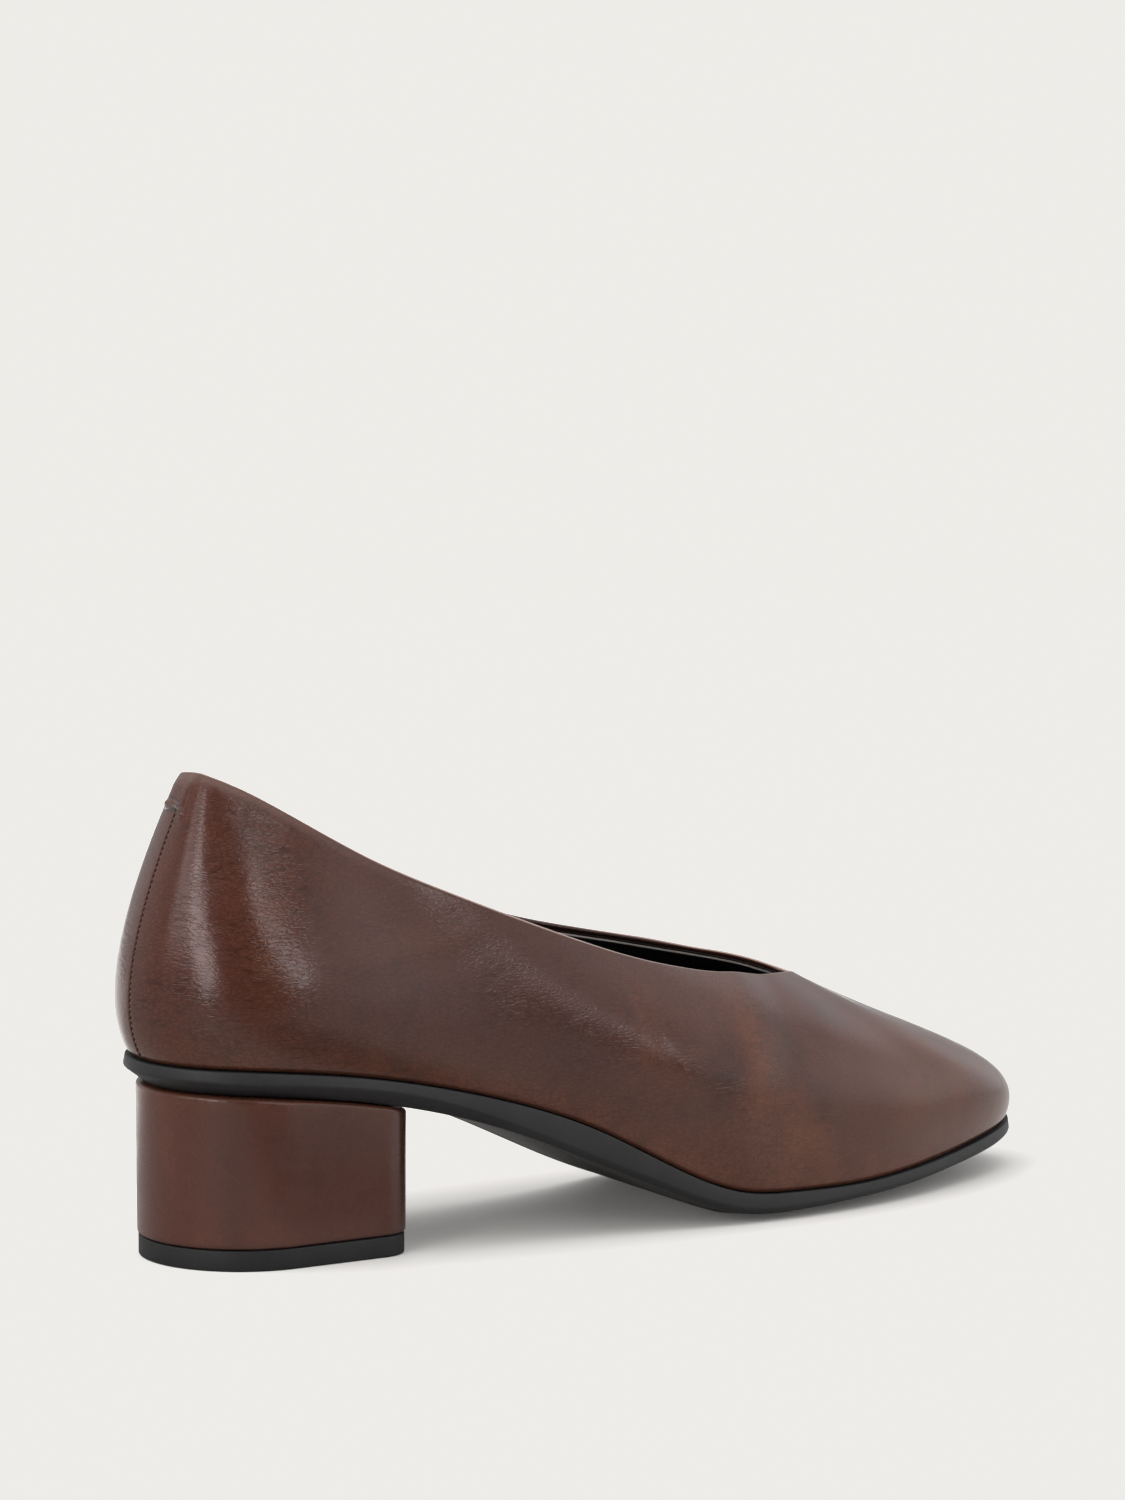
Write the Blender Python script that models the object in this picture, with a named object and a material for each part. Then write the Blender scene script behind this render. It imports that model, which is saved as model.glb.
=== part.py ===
"""Block heel pump, right shoe, standing on its heel and forefoot.

Sizes are millimetres and degrees until a mesh is made in metres. +X points to the toe, -Y to the outer
(lateral) side and +Z up. The origin lies on the floor under the middle of the shoe's box.
"""

import bpy
import numpy as np

# Thicknesses and clearances
WALL = 2.0  # upper: leather, lining and stiffener together
SEAT = 0.3  # clearance where two pieces meet
LEDGE = 0.8  # the sole's top edge stands out this far from the foot of the upper
INSOLE_THICK = 2.2
INSOLE_PLAY = 0.5  # between the insole's edge and the inside of the upper
RIM_CROWN = 0.7  # height of the rounded topline edge above the wall's two skins
TREAD_EASE = 1.2  # the base comes down to its flat tread through a curve of this depth

# Folded tab over the top of the back seam: a low step in the wall
TAB_MIDDLE = 1.2  # towards the inner side
TAB_HALF = 4.6
TAB_STEP = 0.6
TAB_FOOT = 0.855  # shares of the wall's height between which the step rises
TAB_LIP = 0.875

# Heel block with a D shaped plan, and the lift under it
HEEL_BACK = 1.9
HEEL_FRONT = 60.7
HEEL_HALF = 25.2
HEEL_CORNER = 9.0
HEEL_TAPER = 0.2  # the foot of the block is this much smaller all round than its top
HEEL_EDGE = 1.0  # rounding of the leather at the top of the block
LIFT_THICK = 5.0
LIFT_INSET = 0.3

# Mesh density
BETWEEN = 3  # columns between two sections
WALL_ROWS = 12  # rows from the foot of the wall to the tab
TAB_ROWS = 3  # rows on the tab
BACK_POINTS = 13  # points on each quarter of the heel's round back
CORNER_POINTS = 6
SMOOTH_ANGLE = np.radians(35)


def table(names, *rows):
    """Columns of a table by name, a row for each section from the back of the heel to the toe."""
    return dict(zip(names.split(), np.array(rows, float).T))


# Feather line, where the upper meets the sole: place, height and the half widths of the two sides
FEATHER = table(
    "x height outer inner",
    (0.3, 48.3, 0.0, 0.0),
    (4.0, 48.3, 13.6, 13.6),
    (14.0, 47.9, 22.8, 22.8),
    (30.0, 46.4, 26.9, 26.6),
    (56.0, 42.0, 27.8, 26.2),
    (82.0, 35.3, 29.2, 24.6),
    (106.0, 26.3, 31.7, 25.4),
    (126.0, 15.6, 34.4, 28.4),
    (144.0, 8.2, 36.3, 32.8),
    (160.0, 6.8, 36.6, 36.6),
    (178.0, 6.5, 34.8, 38.2),
    (196.0, 7.3, 30.4, 36.2),
    (212.0, 8.6, 24.4, 31.4),
    (227.0, 10.2, 17.4, 25.0),
    (238.5, 11.4, 9.2, 17.0),
    (245.0, 12.1, -4.2, 4.2),
)

# Topline, from the back of the collar round to the point of the throat
TOPLINE = table(
    "x outer_height inner_height outer inner",
    (13.6, 115.1, 115.1, 0.0, 0.0),
    (14.3, 115.0, 114.0, 5.9, 7.2),
    (20.4, 112.2, 111.2, 10.2, 12.6),
    (31.0, 105.7, 105.5, 16.2, 18.2),
    (50.0, 94.1, 94.7, 21.0, 22.2),
    (72.0, 83.8, 85.3, 24.8, 25.0),
    (93.0, 75.1, 77.5, 26.8, 26.4),
    (111.0, 68.3, 70.5, 26.8, 26.4),
    (127.0, 63.3, 66.1, 24.8, 24.9),
    (142.0, 59.7, 63.0, 21.6, 22.0),
    (155.0, 57.3, 60.2, 17.6, 18.2),
    (166.0, 55.5, 57.9, 12.8, 13.6),
    (174.0, 54.3, 55.9, 7.6, 8.8),
    (179.3, 53.5, 53.9, 3.4, 5.0),
    (181.4, 52.9, 53.0, 1.0, 2.4),
    (181.9, 52.7, 52.7, -0.7, 0.7),
)

# Section of the wall: lean outwards at its foot and inwards at the topline, and how far along the
# straight line between them each lean holds
SECTION = table(
    "foot_lean foot_reach top_lean top_reach",
    (33, 0.27, 25, 0.33),
    (30, 0.27, 23, 0.33),
    (30, 0.29, 25, 0.33),
    (25.5, 0.31, 23.5, 0.33),
    (16, 0.33, 17, 0.33),
    (7.5, 0.33, 10, 0.33),
    (8, 0.34, 16, 0.33),
    (9, 0.36, 27, 0.34),
    (10, 0.40, 41, 0.36),
    (10, 0.42, 52, 0.38),
    (10, 0.42, 59, 0.40),
    (12, 0.38, 62, 0.44),
    (16, 0.33, 63, 0.465),
    (21, 0.28, 64, 0.495),
    (24, 0.255, 61.5, 0.485),
    (26.5, 0.225, 62.5, 0.52),
)

# Edge of the sole: upright band and its lean, bevel under it, and the step in to the base
EDGE = table(
    "band lean bevel_in bevel_drop base_in base_drop",
    (2.7, 0.5, 4.6, 3.5, 2.0, 0.0),
    (2.7, 0.5, 4.6, 3.5, 2.0, 0.0),
    (2.7, 0.5, 4.6, 3.5, 2.0, 0.0),
    (2.7, 0.5, 4.6, 3.5, 2.0, 0.0),
    (2.7, 0.5, 4.4, 3.5, 2.0, 0.0),
    (4.8, 0.4, 2.2, 2.1, 3.0, 0.0),
    (6.4, 0.3, 1.5, 1.6, 4.0, 0.5),
    (4.7, 0.3, 1.5, 1.5, 6.0, 1.3),
    (3.7, 0.3, 1.5, 1.5, 11.0, 1.7),
    (3.2, 0.3, 1.4, 1.4, 13.0, 3.2),
    (2.4, 0.3, 1.3, 1.2, 13.0, 3.8),
    (2.4, 0.3, 1.2, 1.1, 10.0, 2.2),
    (2.4, 0.3, 1.2, 1.1, 7.0, 1.4),
    (2.5, 0.3, 1.2, 1.2, 5.0, 1.0),
    (2.6, 0.3, 1.2, 1.2, 4.0, 0.9),
    (2.7, 0.3, 1.2, 1.3, 4.0, 0.9),
)


def round_trip(outer, inner):
    """A column that runs along the outer side to the toe and along the inner side back to the heel."""
    return np.concatenate([outer, inner[-2:0:-1]])


def closed_line(line, outer_height, inner_height):
    """Points of a line with two sides, as one closed loop."""
    across = round_trip(-line["outer"], line["inner"])
    height = round_trip(line[outer_height], line[inner_height])
    return np.stack([round_trip(line["x"], line["x"]), across, height], axis=1)


def both_sides(sections):
    """Every column of a table that is the same on both sides, as one closed loop."""
    return np.stack([round_trip(values, values) for values in sections.values()], axis=1)


FOOT_LOOP = closed_line(FEATHER, "height", "height")
TOP_LOOP = closed_line(TOPLINE, "outer_height", "inner_height")
STRIDES = np.linalg.norm((np.roll(FOOT_LOOP, -1, axis=0) - FOOT_LOOP)[:, :2], axis=1)
KNOTS = np.cumsum(STRIDES) - STRIDES
ROUND = STRIDES.sum()
DOWN = np.array([0.0, 0.0, -1.0])


def closed_spline(values, at):
    """Smooth closed curve through a value at each knot: a cubic spline with no start or end."""
    count = len(KNOTS)
    here = np.arange(count)
    before, after = np.roll(here, 1), np.roll(here, -1)
    matrix = np.zeros((count, count))
    matrix[here, before] += STRIDES[before]
    matrix[here, here] += 2 * (STRIDES[before] + STRIDES)
    matrix[here, after] += STRIDES
    slope = (values[after] - values) / STRIDES[:, None]
    bend = np.linalg.solve(matrix, 6 * (slope - slope[before]))
    at = np.mod(at, ROUND)
    span = np.searchsorted(KNOTS, at, side="right") - 1
    following = after[span]
    stride = STRIDES[span][:, None]
    past = (at - KNOTS[span])[:, None]
    ahead = stride - past
    cubic = (bend[span] * ahead**3 + bend[following] * past**3) / (6 * stride)
    start = (values[span] / stride - bend[span] * stride / 6) * ahead
    end = (values[following] / stride - bend[following] * stride / 6) * past
    return cubic + start + end


def outward(loop, at, step=0.05):
    """Level direction that points out of a loop, square to it in plan."""
    along = closed_spline(loop, at + step) - closed_spline(loop, at - step)
    normal = np.stack([along[:, 1], -along[:, 0], np.zeros(len(at))], axis=1)
    return normal / np.linalg.norm(normal, axis=1, keepdims=True)


def stations():
    """Places round the feather line: each section, and evenly between sections."""
    shares = np.arange(BETWEEN) / BETWEEN
    return (KNOTS[:, None] + STRIDES[:, None] * shares).ravel()


def wall_surface(at, shares):
    """Outer skin of the upper, a row for each place: a cubic curve from feather line to topline."""
    foot, top = closed_spline(FOOT_LOOP, at), closed_spline(TOP_LOOP, at)
    foot_out, top_out = outward(FOOT_LOOP, at), outward(TOP_LOOP, at)
    foot_lean, foot_reach, top_lean, top_reach = closed_spline(both_sides(SECTION), at).T[:, :, None]
    chord = np.linalg.norm(top - foot, axis=1, keepdims=True)
    foot_lean, top_lean = np.radians(foot_lean), np.radians(top_lean)
    low = foot + chord * foot_reach * (np.sin(foot_lean) * foot_out - np.cos(foot_lean) * DOWN)
    high = top + chord * top_reach * (np.sin(top_lean) * top_out + np.cos(top_lean) * DOWN)
    up = np.asarray(shares)[None, :, None]
    rest = 1 - up
    foot, low, high, top = (points[:, None, :] for points in (foot, low, high, top))
    return rest**3 * foot + 3 * up * rest**2 * low + 3 * up**2 * rest * high + up**3 * top


def skin_normals(skin):
    """Unit normals of a closed band of columns and rows, pointing out of the shoe."""
    along = np.roll(skin, -1, axis=0) - np.roll(skin, 1, axis=0)
    normals = np.cross(along, np.gradient(skin, axis=1))
    return normals / np.linalg.norm(normals, axis=2, keepdims=True)


def heel_plan(inset):
    """Plan of the heel: half round back, straight sides and rounded front corners, as a closed loop."""
    half = HEEL_HALF - inset
    corner = HEEL_CORNER - inset
    turn = np.linspace(0, np.pi / 2, BACK_POINTS)
    back = np.stack([HEEL_BACK + inset + half * (1 - np.cos(turn)), -half * np.sin(turn)], axis=1)
    turn = np.linspace(0, np.pi / 2, CORNER_POINTS)
    front_x = HEEL_FRONT - inset - corner + corner * np.sin(turn)
    front = np.stack([front_x, corner - half - corner * np.cos(turn)], axis=1)
    outer = np.concatenate([back, front])
    inner = outer[:0:-1] * (1, -1)
    return np.concatenate([outer, inner])


def sole_underside(x):
    """Height of the flat underside of the sole over the heel."""
    at = np.linspace(0, ROUND / 2, 400)
    line = closed_spline(FOOT_LOOP, at)
    depth = EDGE["band"][0] + EDGE["bevel_drop"][0]
    return np.interp(x, line[:, 0], line[:, 2]) - SEAT - depth


def at_height(plan, height):
    """Plan points lifted to a height, or to one height each."""
    return np.column_stack([plan, np.broadcast_to(height, len(plan))])


def upper_loops():
    """Loops of the upper: down its outer skin, across its foot and up its inner skin."""
    at = stations()
    shares = np.append(np.linspace(0, TAB_FOOT, WALL_ROWS), np.linspace(TAB_LIP, 1, TAB_ROWS))
    skin = wall_surface(at, shares)
    normals = skin_normals(skin)
    inside = skin - WALL * normals
    inside[:, 0] = skin[:, 0] - WALL * outward(FOOT_LOOP, at)
    behind = (np.abs(skin[:, -1, 1] - TAB_MIDDLE) < TAB_HALF) & (skin[:, -1, 0] < TOPLINE["x"][4])
    on_tab = behind[:, None] & (shares >= TAB_LIP)
    skin = skin + TAB_STEP * on_tab[:, :, None] * normals
    climb = skin[:, -1] - skin[:, -2]
    climb /= np.linalg.norm(climb, axis=1, keepdims=True)
    crown = (skin[:, -1] + inside[:, -1]) / 2 + RIM_CROWN * climb
    down_outside = [skin[:, row] for row in range(len(shares))][::-1]
    up_inside = [inside[:, row] for row in range(len(shares))]
    return [crown] + down_outside + up_inside


def insole_loops():
    """Loops of the insole: a level slab that follows the feather line inside the upper."""
    at = stations()
    edge = closed_spline(FOOT_LOOP, at) - (WALL + INSOLE_PLAY) * outward(FOOT_LOOP, at)
    return [edge - INSOLE_THICK * DOWN, edge]


def on_floor(height):
    """Heights kept from going under the floor, with a round turn into the flat tread."""
    turn = np.clip(height + TREAD_EASE, 0, None) ** 2 / (4 * TREAD_EASE)
    return np.where(height < TREAD_EASE, turn, height)


def outsole_loops():
    """Loops of the sole: top edge, foot of the band, foot of the bevel and the edge of the base."""
    at = stations()
    out = outward(FOOT_LOOP, at)
    band, lean, bevel_in, bevel_drop, base_in, base_drop = closed_spline(both_sides(EDGE), at).T[:, :, None]
    top = closed_spline(FOOT_LOOP, at) + LEDGE * out + SEAT * DOWN
    band_foot = top + lean * out + band * DOWN
    bevel_foot = band_foot - bevel_in * out + bevel_drop * DOWN
    base = bevel_foot - base_in * out + base_drop * DOWN
    base[:, 2] = on_floor(base[:, 2])
    return [top, band_foot, bevel_foot, base]


def heel_loops():
    """Loops of the heel block: rounded top edge under the sole, straight sides and a smaller foot."""
    top, side, foot = heel_plan(HEEL_EDGE), heel_plan(0), heel_plan(HEEL_TAPER)
    top = at_height(top, sole_underside(top[:, 0]) - SEAT)
    side = at_height(side, sole_underside(side[:, 0]) - SEAT - HEEL_EDGE)
    return [top, side, at_height(foot, LIFT_THICK + SEAT)]


def lift_loops():
    """Loops of the lift: a flat plate inside the foot of the block, on the floor."""
    plan = heel_plan(HEEL_TAPER + LIFT_INSET)
    return [at_height(plan, LIFT_THICK), at_height(plan, 0)]


def bridge(count, first, second):
    """Faces between two loops, given the number of the first point of each."""
    here = np.arange(count)
    after = np.roll(here, -1)
    return np.stack([first + here, second + here, second + after, first + after], axis=1).tolist()


def cap(count, first, upward):
    """Faces that close a loop with strips from one side of the shoe to the other."""
    middle = (count - 1) // 2
    faces = [[0, 1, count - 1]]
    faces += [[place, place + 1, count - place - 1, count - place] for place in range(1, middle)]
    if count % 2 == 0:
        faces.append([middle, middle + 1, middle + 2])
    return [[first + point for point in (face if upward else face[::-1])] for face in faces]


def finish(name, colour, roughness):
    """Plain Principled material."""
    material = bpy.data.materials.new(name)
    material.use_nodes = True
    shader = material.node_tree.nodes["Principled BSDF"]
    shader.inputs["Base Color"].default_value = (*colour, 1)
    shader.inputs["Roughness"].default_value = roughness
    shader.inputs["Metallic"].default_value = 0
    return material


def add_piece(name, loops, material, middle, ring=False):
    """Object made by bridging loops in order. A ring joins its last loop to its first, others get caps."""
    count = len(loops[0])
    firsts = [count * number for number in range(len(loops))]
    faces = []
    for first, second in zip(firsts, firsts[1:]):
        faces += bridge(count, first, second)
    if ring:
        faces += bridge(count, firsts[-1], firsts[0])
    else:
        faces += cap(count, firsts[0], True) + cap(count, firsts[-1], False)
    points = (np.concatenate(loops) - middle) / 1000
    mesh = bpy.data.meshes.new(name)
    mesh.from_pydata(points.tolist(), [], faces)
    mesh.materials.append(material)
    mesh.shade_smooth()
    mesh.set_sharp_from_angle(angle=SMOOTH_ANGLE)
    piece = bpy.data.objects.new(name, mesh)
    bpy.context.scene.collection.objects.link(piece)


def main():
    """Clear the scene and make the five pieces of the shoe."""
    for old in list(bpy.data.objects):
        bpy.data.objects.remove(old, do_unlink=True)
    upper, outsole = upper_loops(), outsole_loops()
    outside = np.concatenate(upper + outsole)
    middle = (outside.min(axis=0) + outside.max(axis=0)) / 2
    middle[2] = 0
    brown = finish("upper_leather", (0.085, 0.042, 0.034), 0.4)
    add_piece("upper", upper, brown, middle, ring=True)
    add_piece("insole", insole_loops(), finish("sock_leather", (0.02, 0.014, 0.012), 0.6), middle)
    add_piece("outsole", outsole, finish("sole_rubber", (0.035, 0.035, 0.037), 0.6), middle)
    add_piece("heel", heel_loops(), finish("heel_leather", (0.085, 0.04, 0.032), 0.38), middle)
    add_piece("top_lift", lift_loops(), finish("lift_rubber", (0.03, 0.03, 0.032), 0.65), middle)


if __name__ == "__main__":
    main()
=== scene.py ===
"""Finished block heel pump, right shoe: surfaces, finishes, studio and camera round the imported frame.

Lengths are millimetres in the shoe's own frame until a mesh is made: x runs from the back of the heel to
the toe, y to the inner side and z up from the floor. Angles are degrees.
"""

import logging
import math
from dataclasses import dataclass, field
from enum import Enum

import bpy
import numpy as np
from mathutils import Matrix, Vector


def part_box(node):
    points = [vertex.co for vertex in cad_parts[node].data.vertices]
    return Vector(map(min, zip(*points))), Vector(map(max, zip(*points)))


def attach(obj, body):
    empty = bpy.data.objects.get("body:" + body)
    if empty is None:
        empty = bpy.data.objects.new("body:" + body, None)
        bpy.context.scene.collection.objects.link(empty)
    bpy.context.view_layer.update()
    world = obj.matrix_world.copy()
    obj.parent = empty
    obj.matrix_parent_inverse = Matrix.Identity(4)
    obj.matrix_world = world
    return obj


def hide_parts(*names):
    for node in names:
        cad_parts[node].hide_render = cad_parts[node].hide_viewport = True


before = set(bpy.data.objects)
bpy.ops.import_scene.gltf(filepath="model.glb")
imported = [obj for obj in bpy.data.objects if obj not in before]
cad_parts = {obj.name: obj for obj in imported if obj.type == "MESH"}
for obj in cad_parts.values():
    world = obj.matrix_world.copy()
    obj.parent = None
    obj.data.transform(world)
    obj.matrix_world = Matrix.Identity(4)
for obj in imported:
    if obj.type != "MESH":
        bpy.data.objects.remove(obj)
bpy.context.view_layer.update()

Array = np.ndarray
Colour = tuple[float, float, float]
Triple = tuple[float, float, float]
Pair = tuple[float, float]
Numbers = tuple[float, ...]
Socket = bpy.types.NodeSocket
LOG = logging.getLogger("block_heel_pump")
METRE = 1000.0
DEGREE = math.pi / 180
BODY = "root"

# Thicknesses and clearances that the pieces share
WALL = 2.0
LEATHER = 1.3
SEAT = 0.3
LEDGE = 0.8
UP = np.array([0.0, 0.0, 1.0])
TINY = 1e-6


class Slot(Enum):
    """Material slots of the record."""

    UPPER = "upper_leather"
    SOCK = "sock_leather"
    SOLE = "sole_rubber"
    HEEL = "heel_leather"
    LIFT = "lift_rubber"


def table(names: str, *rows: tuple[float, ...]) -> dict[str, Array]:
    """Columns of a table by name."""
    return dict(zip(names.split(), np.array(rows, float).T))


# Feather line, where the upper meets the sole: place, height and the half widths of the two sides
FEATHER = table(
    "x height outer inner",
    (0.3, 48.3, 0.0, 0.0),
    (4.0, 48.3, 13.6, 13.6),
    (14.0, 47.9, 22.8, 22.8),
    (30.0, 46.4, 26.9, 26.6),
    (56.0, 42.0, 27.8, 26.2),
    (82.0, 35.3, 29.2, 24.6),
    (106.0, 26.3, 31.7, 25.4),
    (126.0, 15.6, 34.4, 28.4),
    (144.0, 8.2, 36.3, 32.8),
    (160.0, 6.8, 36.6, 36.6),
    (178.0, 6.5, 34.8, 38.2),
    (196.0, 7.3, 30.4, 36.2),
    (212.0, 8.6, 24.4, 31.4),
    (227.0, 10.2, 17.4, 25.0),
    (238.5, 11.4, 9.2, 17.0),
    (245.0, 12.1, -4.2, 4.2),
)

# Topline, from the back of the collar round to the point of the throat
TOPLINE = table(
    "x outer_height inner_height outer inner",
    (13.6, 115.1, 115.1, 0.0, 0.0),
    (14.3, 115.0, 114.0, 5.9, 7.2),
    (20.4, 112.2, 111.2, 10.2, 12.6),
    (31.0, 105.7, 105.5, 16.2, 18.2),
    (50.0, 94.1, 94.7, 21.0, 22.2),
    (72.0, 83.8, 85.3, 24.8, 25.0),
    (93.0, 75.1, 77.5, 26.8, 26.4),
    (111.0, 68.3, 70.5, 26.8, 26.4),
    (127.0, 63.3, 66.1, 24.8, 24.9),
    (142.0, 59.7, 63.0, 21.6, 22.0),
    (155.0, 57.3, 60.2, 17.6, 18.2),
    (166.0, 55.5, 57.9, 12.8, 13.6),
    (174.0, 54.3, 55.9, 7.6, 8.8),
    (179.3, 53.5, 53.9, 3.4, 5.0),
    (181.4, 52.9, 53.0, 1.0, 2.4),
    (181.9, 52.7, 52.7, -0.7, 0.7),
)

# Section of the wall: lean outwards at its foot and inwards at the topline, and how far along the
# straight line between them each lean holds
SECTION = table(
    "foot_lean foot_reach top_lean top_reach",
    (33, 0.27, 25, 0.33),
    (30, 0.27, 23, 0.33),
    (30, 0.29, 25, 0.33),
    (25.5, 0.31, 23.5, 0.33),
    (16, 0.33, 17, 0.33),
    (7.5, 0.33, 10, 0.33),
    (8, 0.34, 16, 0.33),
    (9, 0.36, 27, 0.34),
    (10, 0.40, 41, 0.36),
    (10, 0.42, 52, 0.38),
    (10, 0.42, 59, 0.40),
    (12, 0.38, 62, 0.44),
    (16, 0.33, 63, 0.465),
    (21, 0.28, 64, 0.495),
    (24, 0.255, 61.5, 0.485),
    (26.5, 0.225, 62.5, 0.52),
)

# Edge of the sole: upright band and its lean, bevel under it, and the step in to the base
EDGE = table(
    "band lean bevel_in bevel_drop base_in base_drop",
    (2.7, 0.5, 4.6, 3.5, 2.0, 0.0),
    (2.7, 0.5, 4.6, 3.5, 2.0, 0.0),
    (2.7, 0.5, 4.6, 3.5, 2.0, 0.0),
    (2.7, 0.5, 4.6, 3.5, 2.0, 0.0),
    (2.7, 0.5, 4.4, 3.5, 2.0, 0.0),
    (4.8, 0.4, 2.2, 2.1, 3.0, 0.0),
    (6.4, 0.3, 1.5, 1.6, 4.0, 0.5),
    (4.7, 0.3, 1.5, 1.5, 6.0, 1.3),
    (3.7, 0.3, 1.5, 1.5, 11.0, 1.7),
    (3.2, 0.3, 1.4, 1.4, 13.0, 3.2),
    (2.4, 0.3, 1.3, 1.2, 13.0, 3.8),
    (2.4, 0.3, 1.2, 1.1, 10.0, 2.2),
    (2.4, 0.3, 1.2, 1.1, 7.0, 1.4),
    (2.5, 0.3, 1.2, 1.2, 5.0, 1.0),
    (2.6, 0.3, 1.2, 1.2, 4.0, 0.9),
    (2.7, 0.3, 1.2, 1.3, 4.0, 0.9),
)

# Burnished patches of the upper: side by the sign of y, middle, half sizes, and how far the tone goes to
# warm or to grey
PATCHES = table(
    "side x z along up warm grey",
    (-1, 148, 41, 5, 15, 0.6, 0.0),
    (-1, 150, 26, 24, 15, 0.35, 0.0),
    (-1, 205, 34, 22, 12, 0.2, 0.0),
    (-1, 160, 20, 9, 9, 0.8, 0.0),
    (-1, 137, 36, 5, 8, 0.0, 0.8),
    (-1, 159, 43, 6, 9, 0.0, 0.8),
    (-1, 166, 28, 7, 6, 0.0, 0.9),
    (-1, 172, 48, 9, 6, 0.0, 0.5),
    (-1, 118, 47, 5, 12, 0.4, 0.0),
    (-1, 80, 60, 16, 14, 0.0, 0.5),
    (-1, 56, 60, 12, 9, 0.0, 0.4),
    (-1, 100, 46, 12, 9, 0.0, 0.5),
    (-1, 62, 74, 14, 4, 0.4, 0.0),
    (-1, 20, 82, 7, 24, 0.25, 0.0),
    (-1, 21, 101, 5, 8, 0.0, 0.6),
    (-1, 205, 24, 16, 9, 0.5, 0.0),
    (1, 152, 38, 7, 14, 0.8, 0.0),
    (1, 152, 26, 24, 15, 0.35, 0.0),
    (1, 205, 34, 22, 12, 0.2, 0.0),
    (1, 168, 22, 10, 8, 0.7, 0.0),
    (1, 138, 34, 7, 9, 0.0, 0.8),
    (1, 176, 36, 9, 9, 0.0, 0.7),
    (1, 108, 50, 12, 12, 0.4, 0.0),
    (1, 78, 62, 18, 13, 0.0, 0.6),
    (1, 40, 76, 14, 16, 0.4, 0.0),
    (1, 210, 26, 14, 9, 0.5, 0.0),
)

# Main creases: side, two ends, half width, and height of the fold, a trough where it is below zero
CREASES = table(
    "side x z to_x to_z width rise",
    (-1, 17.5, 106.6, 26, 103.8, 0.9, -0.07),
    (-1, 17.8, 108.5, 23, 107.0, 0.9, -0.05),
    (-1, 46, 71.0, 67, 74.8, 2.4, 0.14),
    (-1, 46, 67.0, 66, 70.0, 3.0, -0.10),
    (-1, 116.0, 59.5, 118.6, 50.5, 0.9, -0.12),
    (-1, 121.4, 48.8, 124.4, 37.0, 0.9, -0.12),
    (-1, 152, 53, 145, 30, 4.5, 0.30),
    (-1, 162, 50, 156, 32, 4.0, -0.26),
    (-1, 138, 48, 134, 28, 4.0, -0.16),
    (-1, 172, 40, 168, 24, 4.5, 0.15),
    (1, 150, 53, 146, 30, 4.5, 0.20),
    (1, 162, 52, 158, 32, 4.0, -0.20),
    (1, 136, 50, 132, 28, 4.0, -0.14),
    (1, 96, 62, 104, 44, 3.5, -0.12),
)


def ease(value: Array, low: float, high: float) -> Array:
    """Smooth step from 0 below low to 1 above high."""
    share = np.clip((value - low) / (high - low), 0, 1)
    return share * share * (3 - 2 * share)


def bell(value: Array, width: float) -> Array:
    """Bell curve of height 1 round zero, down to 0.37 at the width."""
    return np.exp(-((value / width) ** 2))


def unit(vectors: Array) -> Array:
    """Vectors brought to length 1."""
    return vectors / np.linalg.norm(vectors, axis=-1, keepdims=True)


def round_trip(outer: Array, inner: Array) -> Array:
    """A column that runs along the outer side to the toe and along the inner side back to the heel."""
    return np.concatenate([outer, inner[-2:0:-1]])


def both_sides(sections: dict[str, Array]) -> Array:
    """Every column of a table that is the same on both sides, as one closed loop."""
    return np.stack([round_trip(values, values) for values in sections.values()], axis=1)


def bridge(loops: int, count: int, first: int = 0, ring: bool = False) -> list[list[int]]:
    """Quads between neighbouring loops of points.

    Args:
        loops: number of loops.
        count: number of points of each loop.
        first: number of the first loop's first point.
        ring: True joins the last loop to the first.

    Returns:
        Point numbers of each face.
    """
    here = np.arange(count)
    after = np.roll(here, -1)
    start = count * np.arange(loops if ring else loops - 1)[:, None]
    below = np.mod(start + count, count * loops)
    quads = np.stack([start + here, below + here, below + after, start + after], axis=2)
    return (quads.reshape(-1, 4) + first).tolist()


def heading(azimuth: float, elevation: float) -> Vector:
    """Unit vector in a direction: azimuth round from the outer side, elevation above the floor."""
    turn, lift = math.radians(azimuth), math.radians(elevation)
    return Vector((math.sin(turn) * math.cos(lift), -math.cos(turn) * math.cos(lift), math.sin(lift)))


def closed_line(line: dict[str, Array], outer_height: str, inner_height: str) -> Array:
    """Points of a line with two sides, as one closed loop.

    Args:
        line: table of the line.
        outer_height: name of the column with the outer side's heights.
        inner_height: name of the column with the inner side's heights.

    Returns:
        One point for each section of each side.
    """
    across = round_trip(-line["outer"], line["inner"])
    height = round_trip(line[outer_height], line[inner_height])
    return np.stack([round_trip(line["x"], line["x"]), across, height], axis=1)


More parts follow.
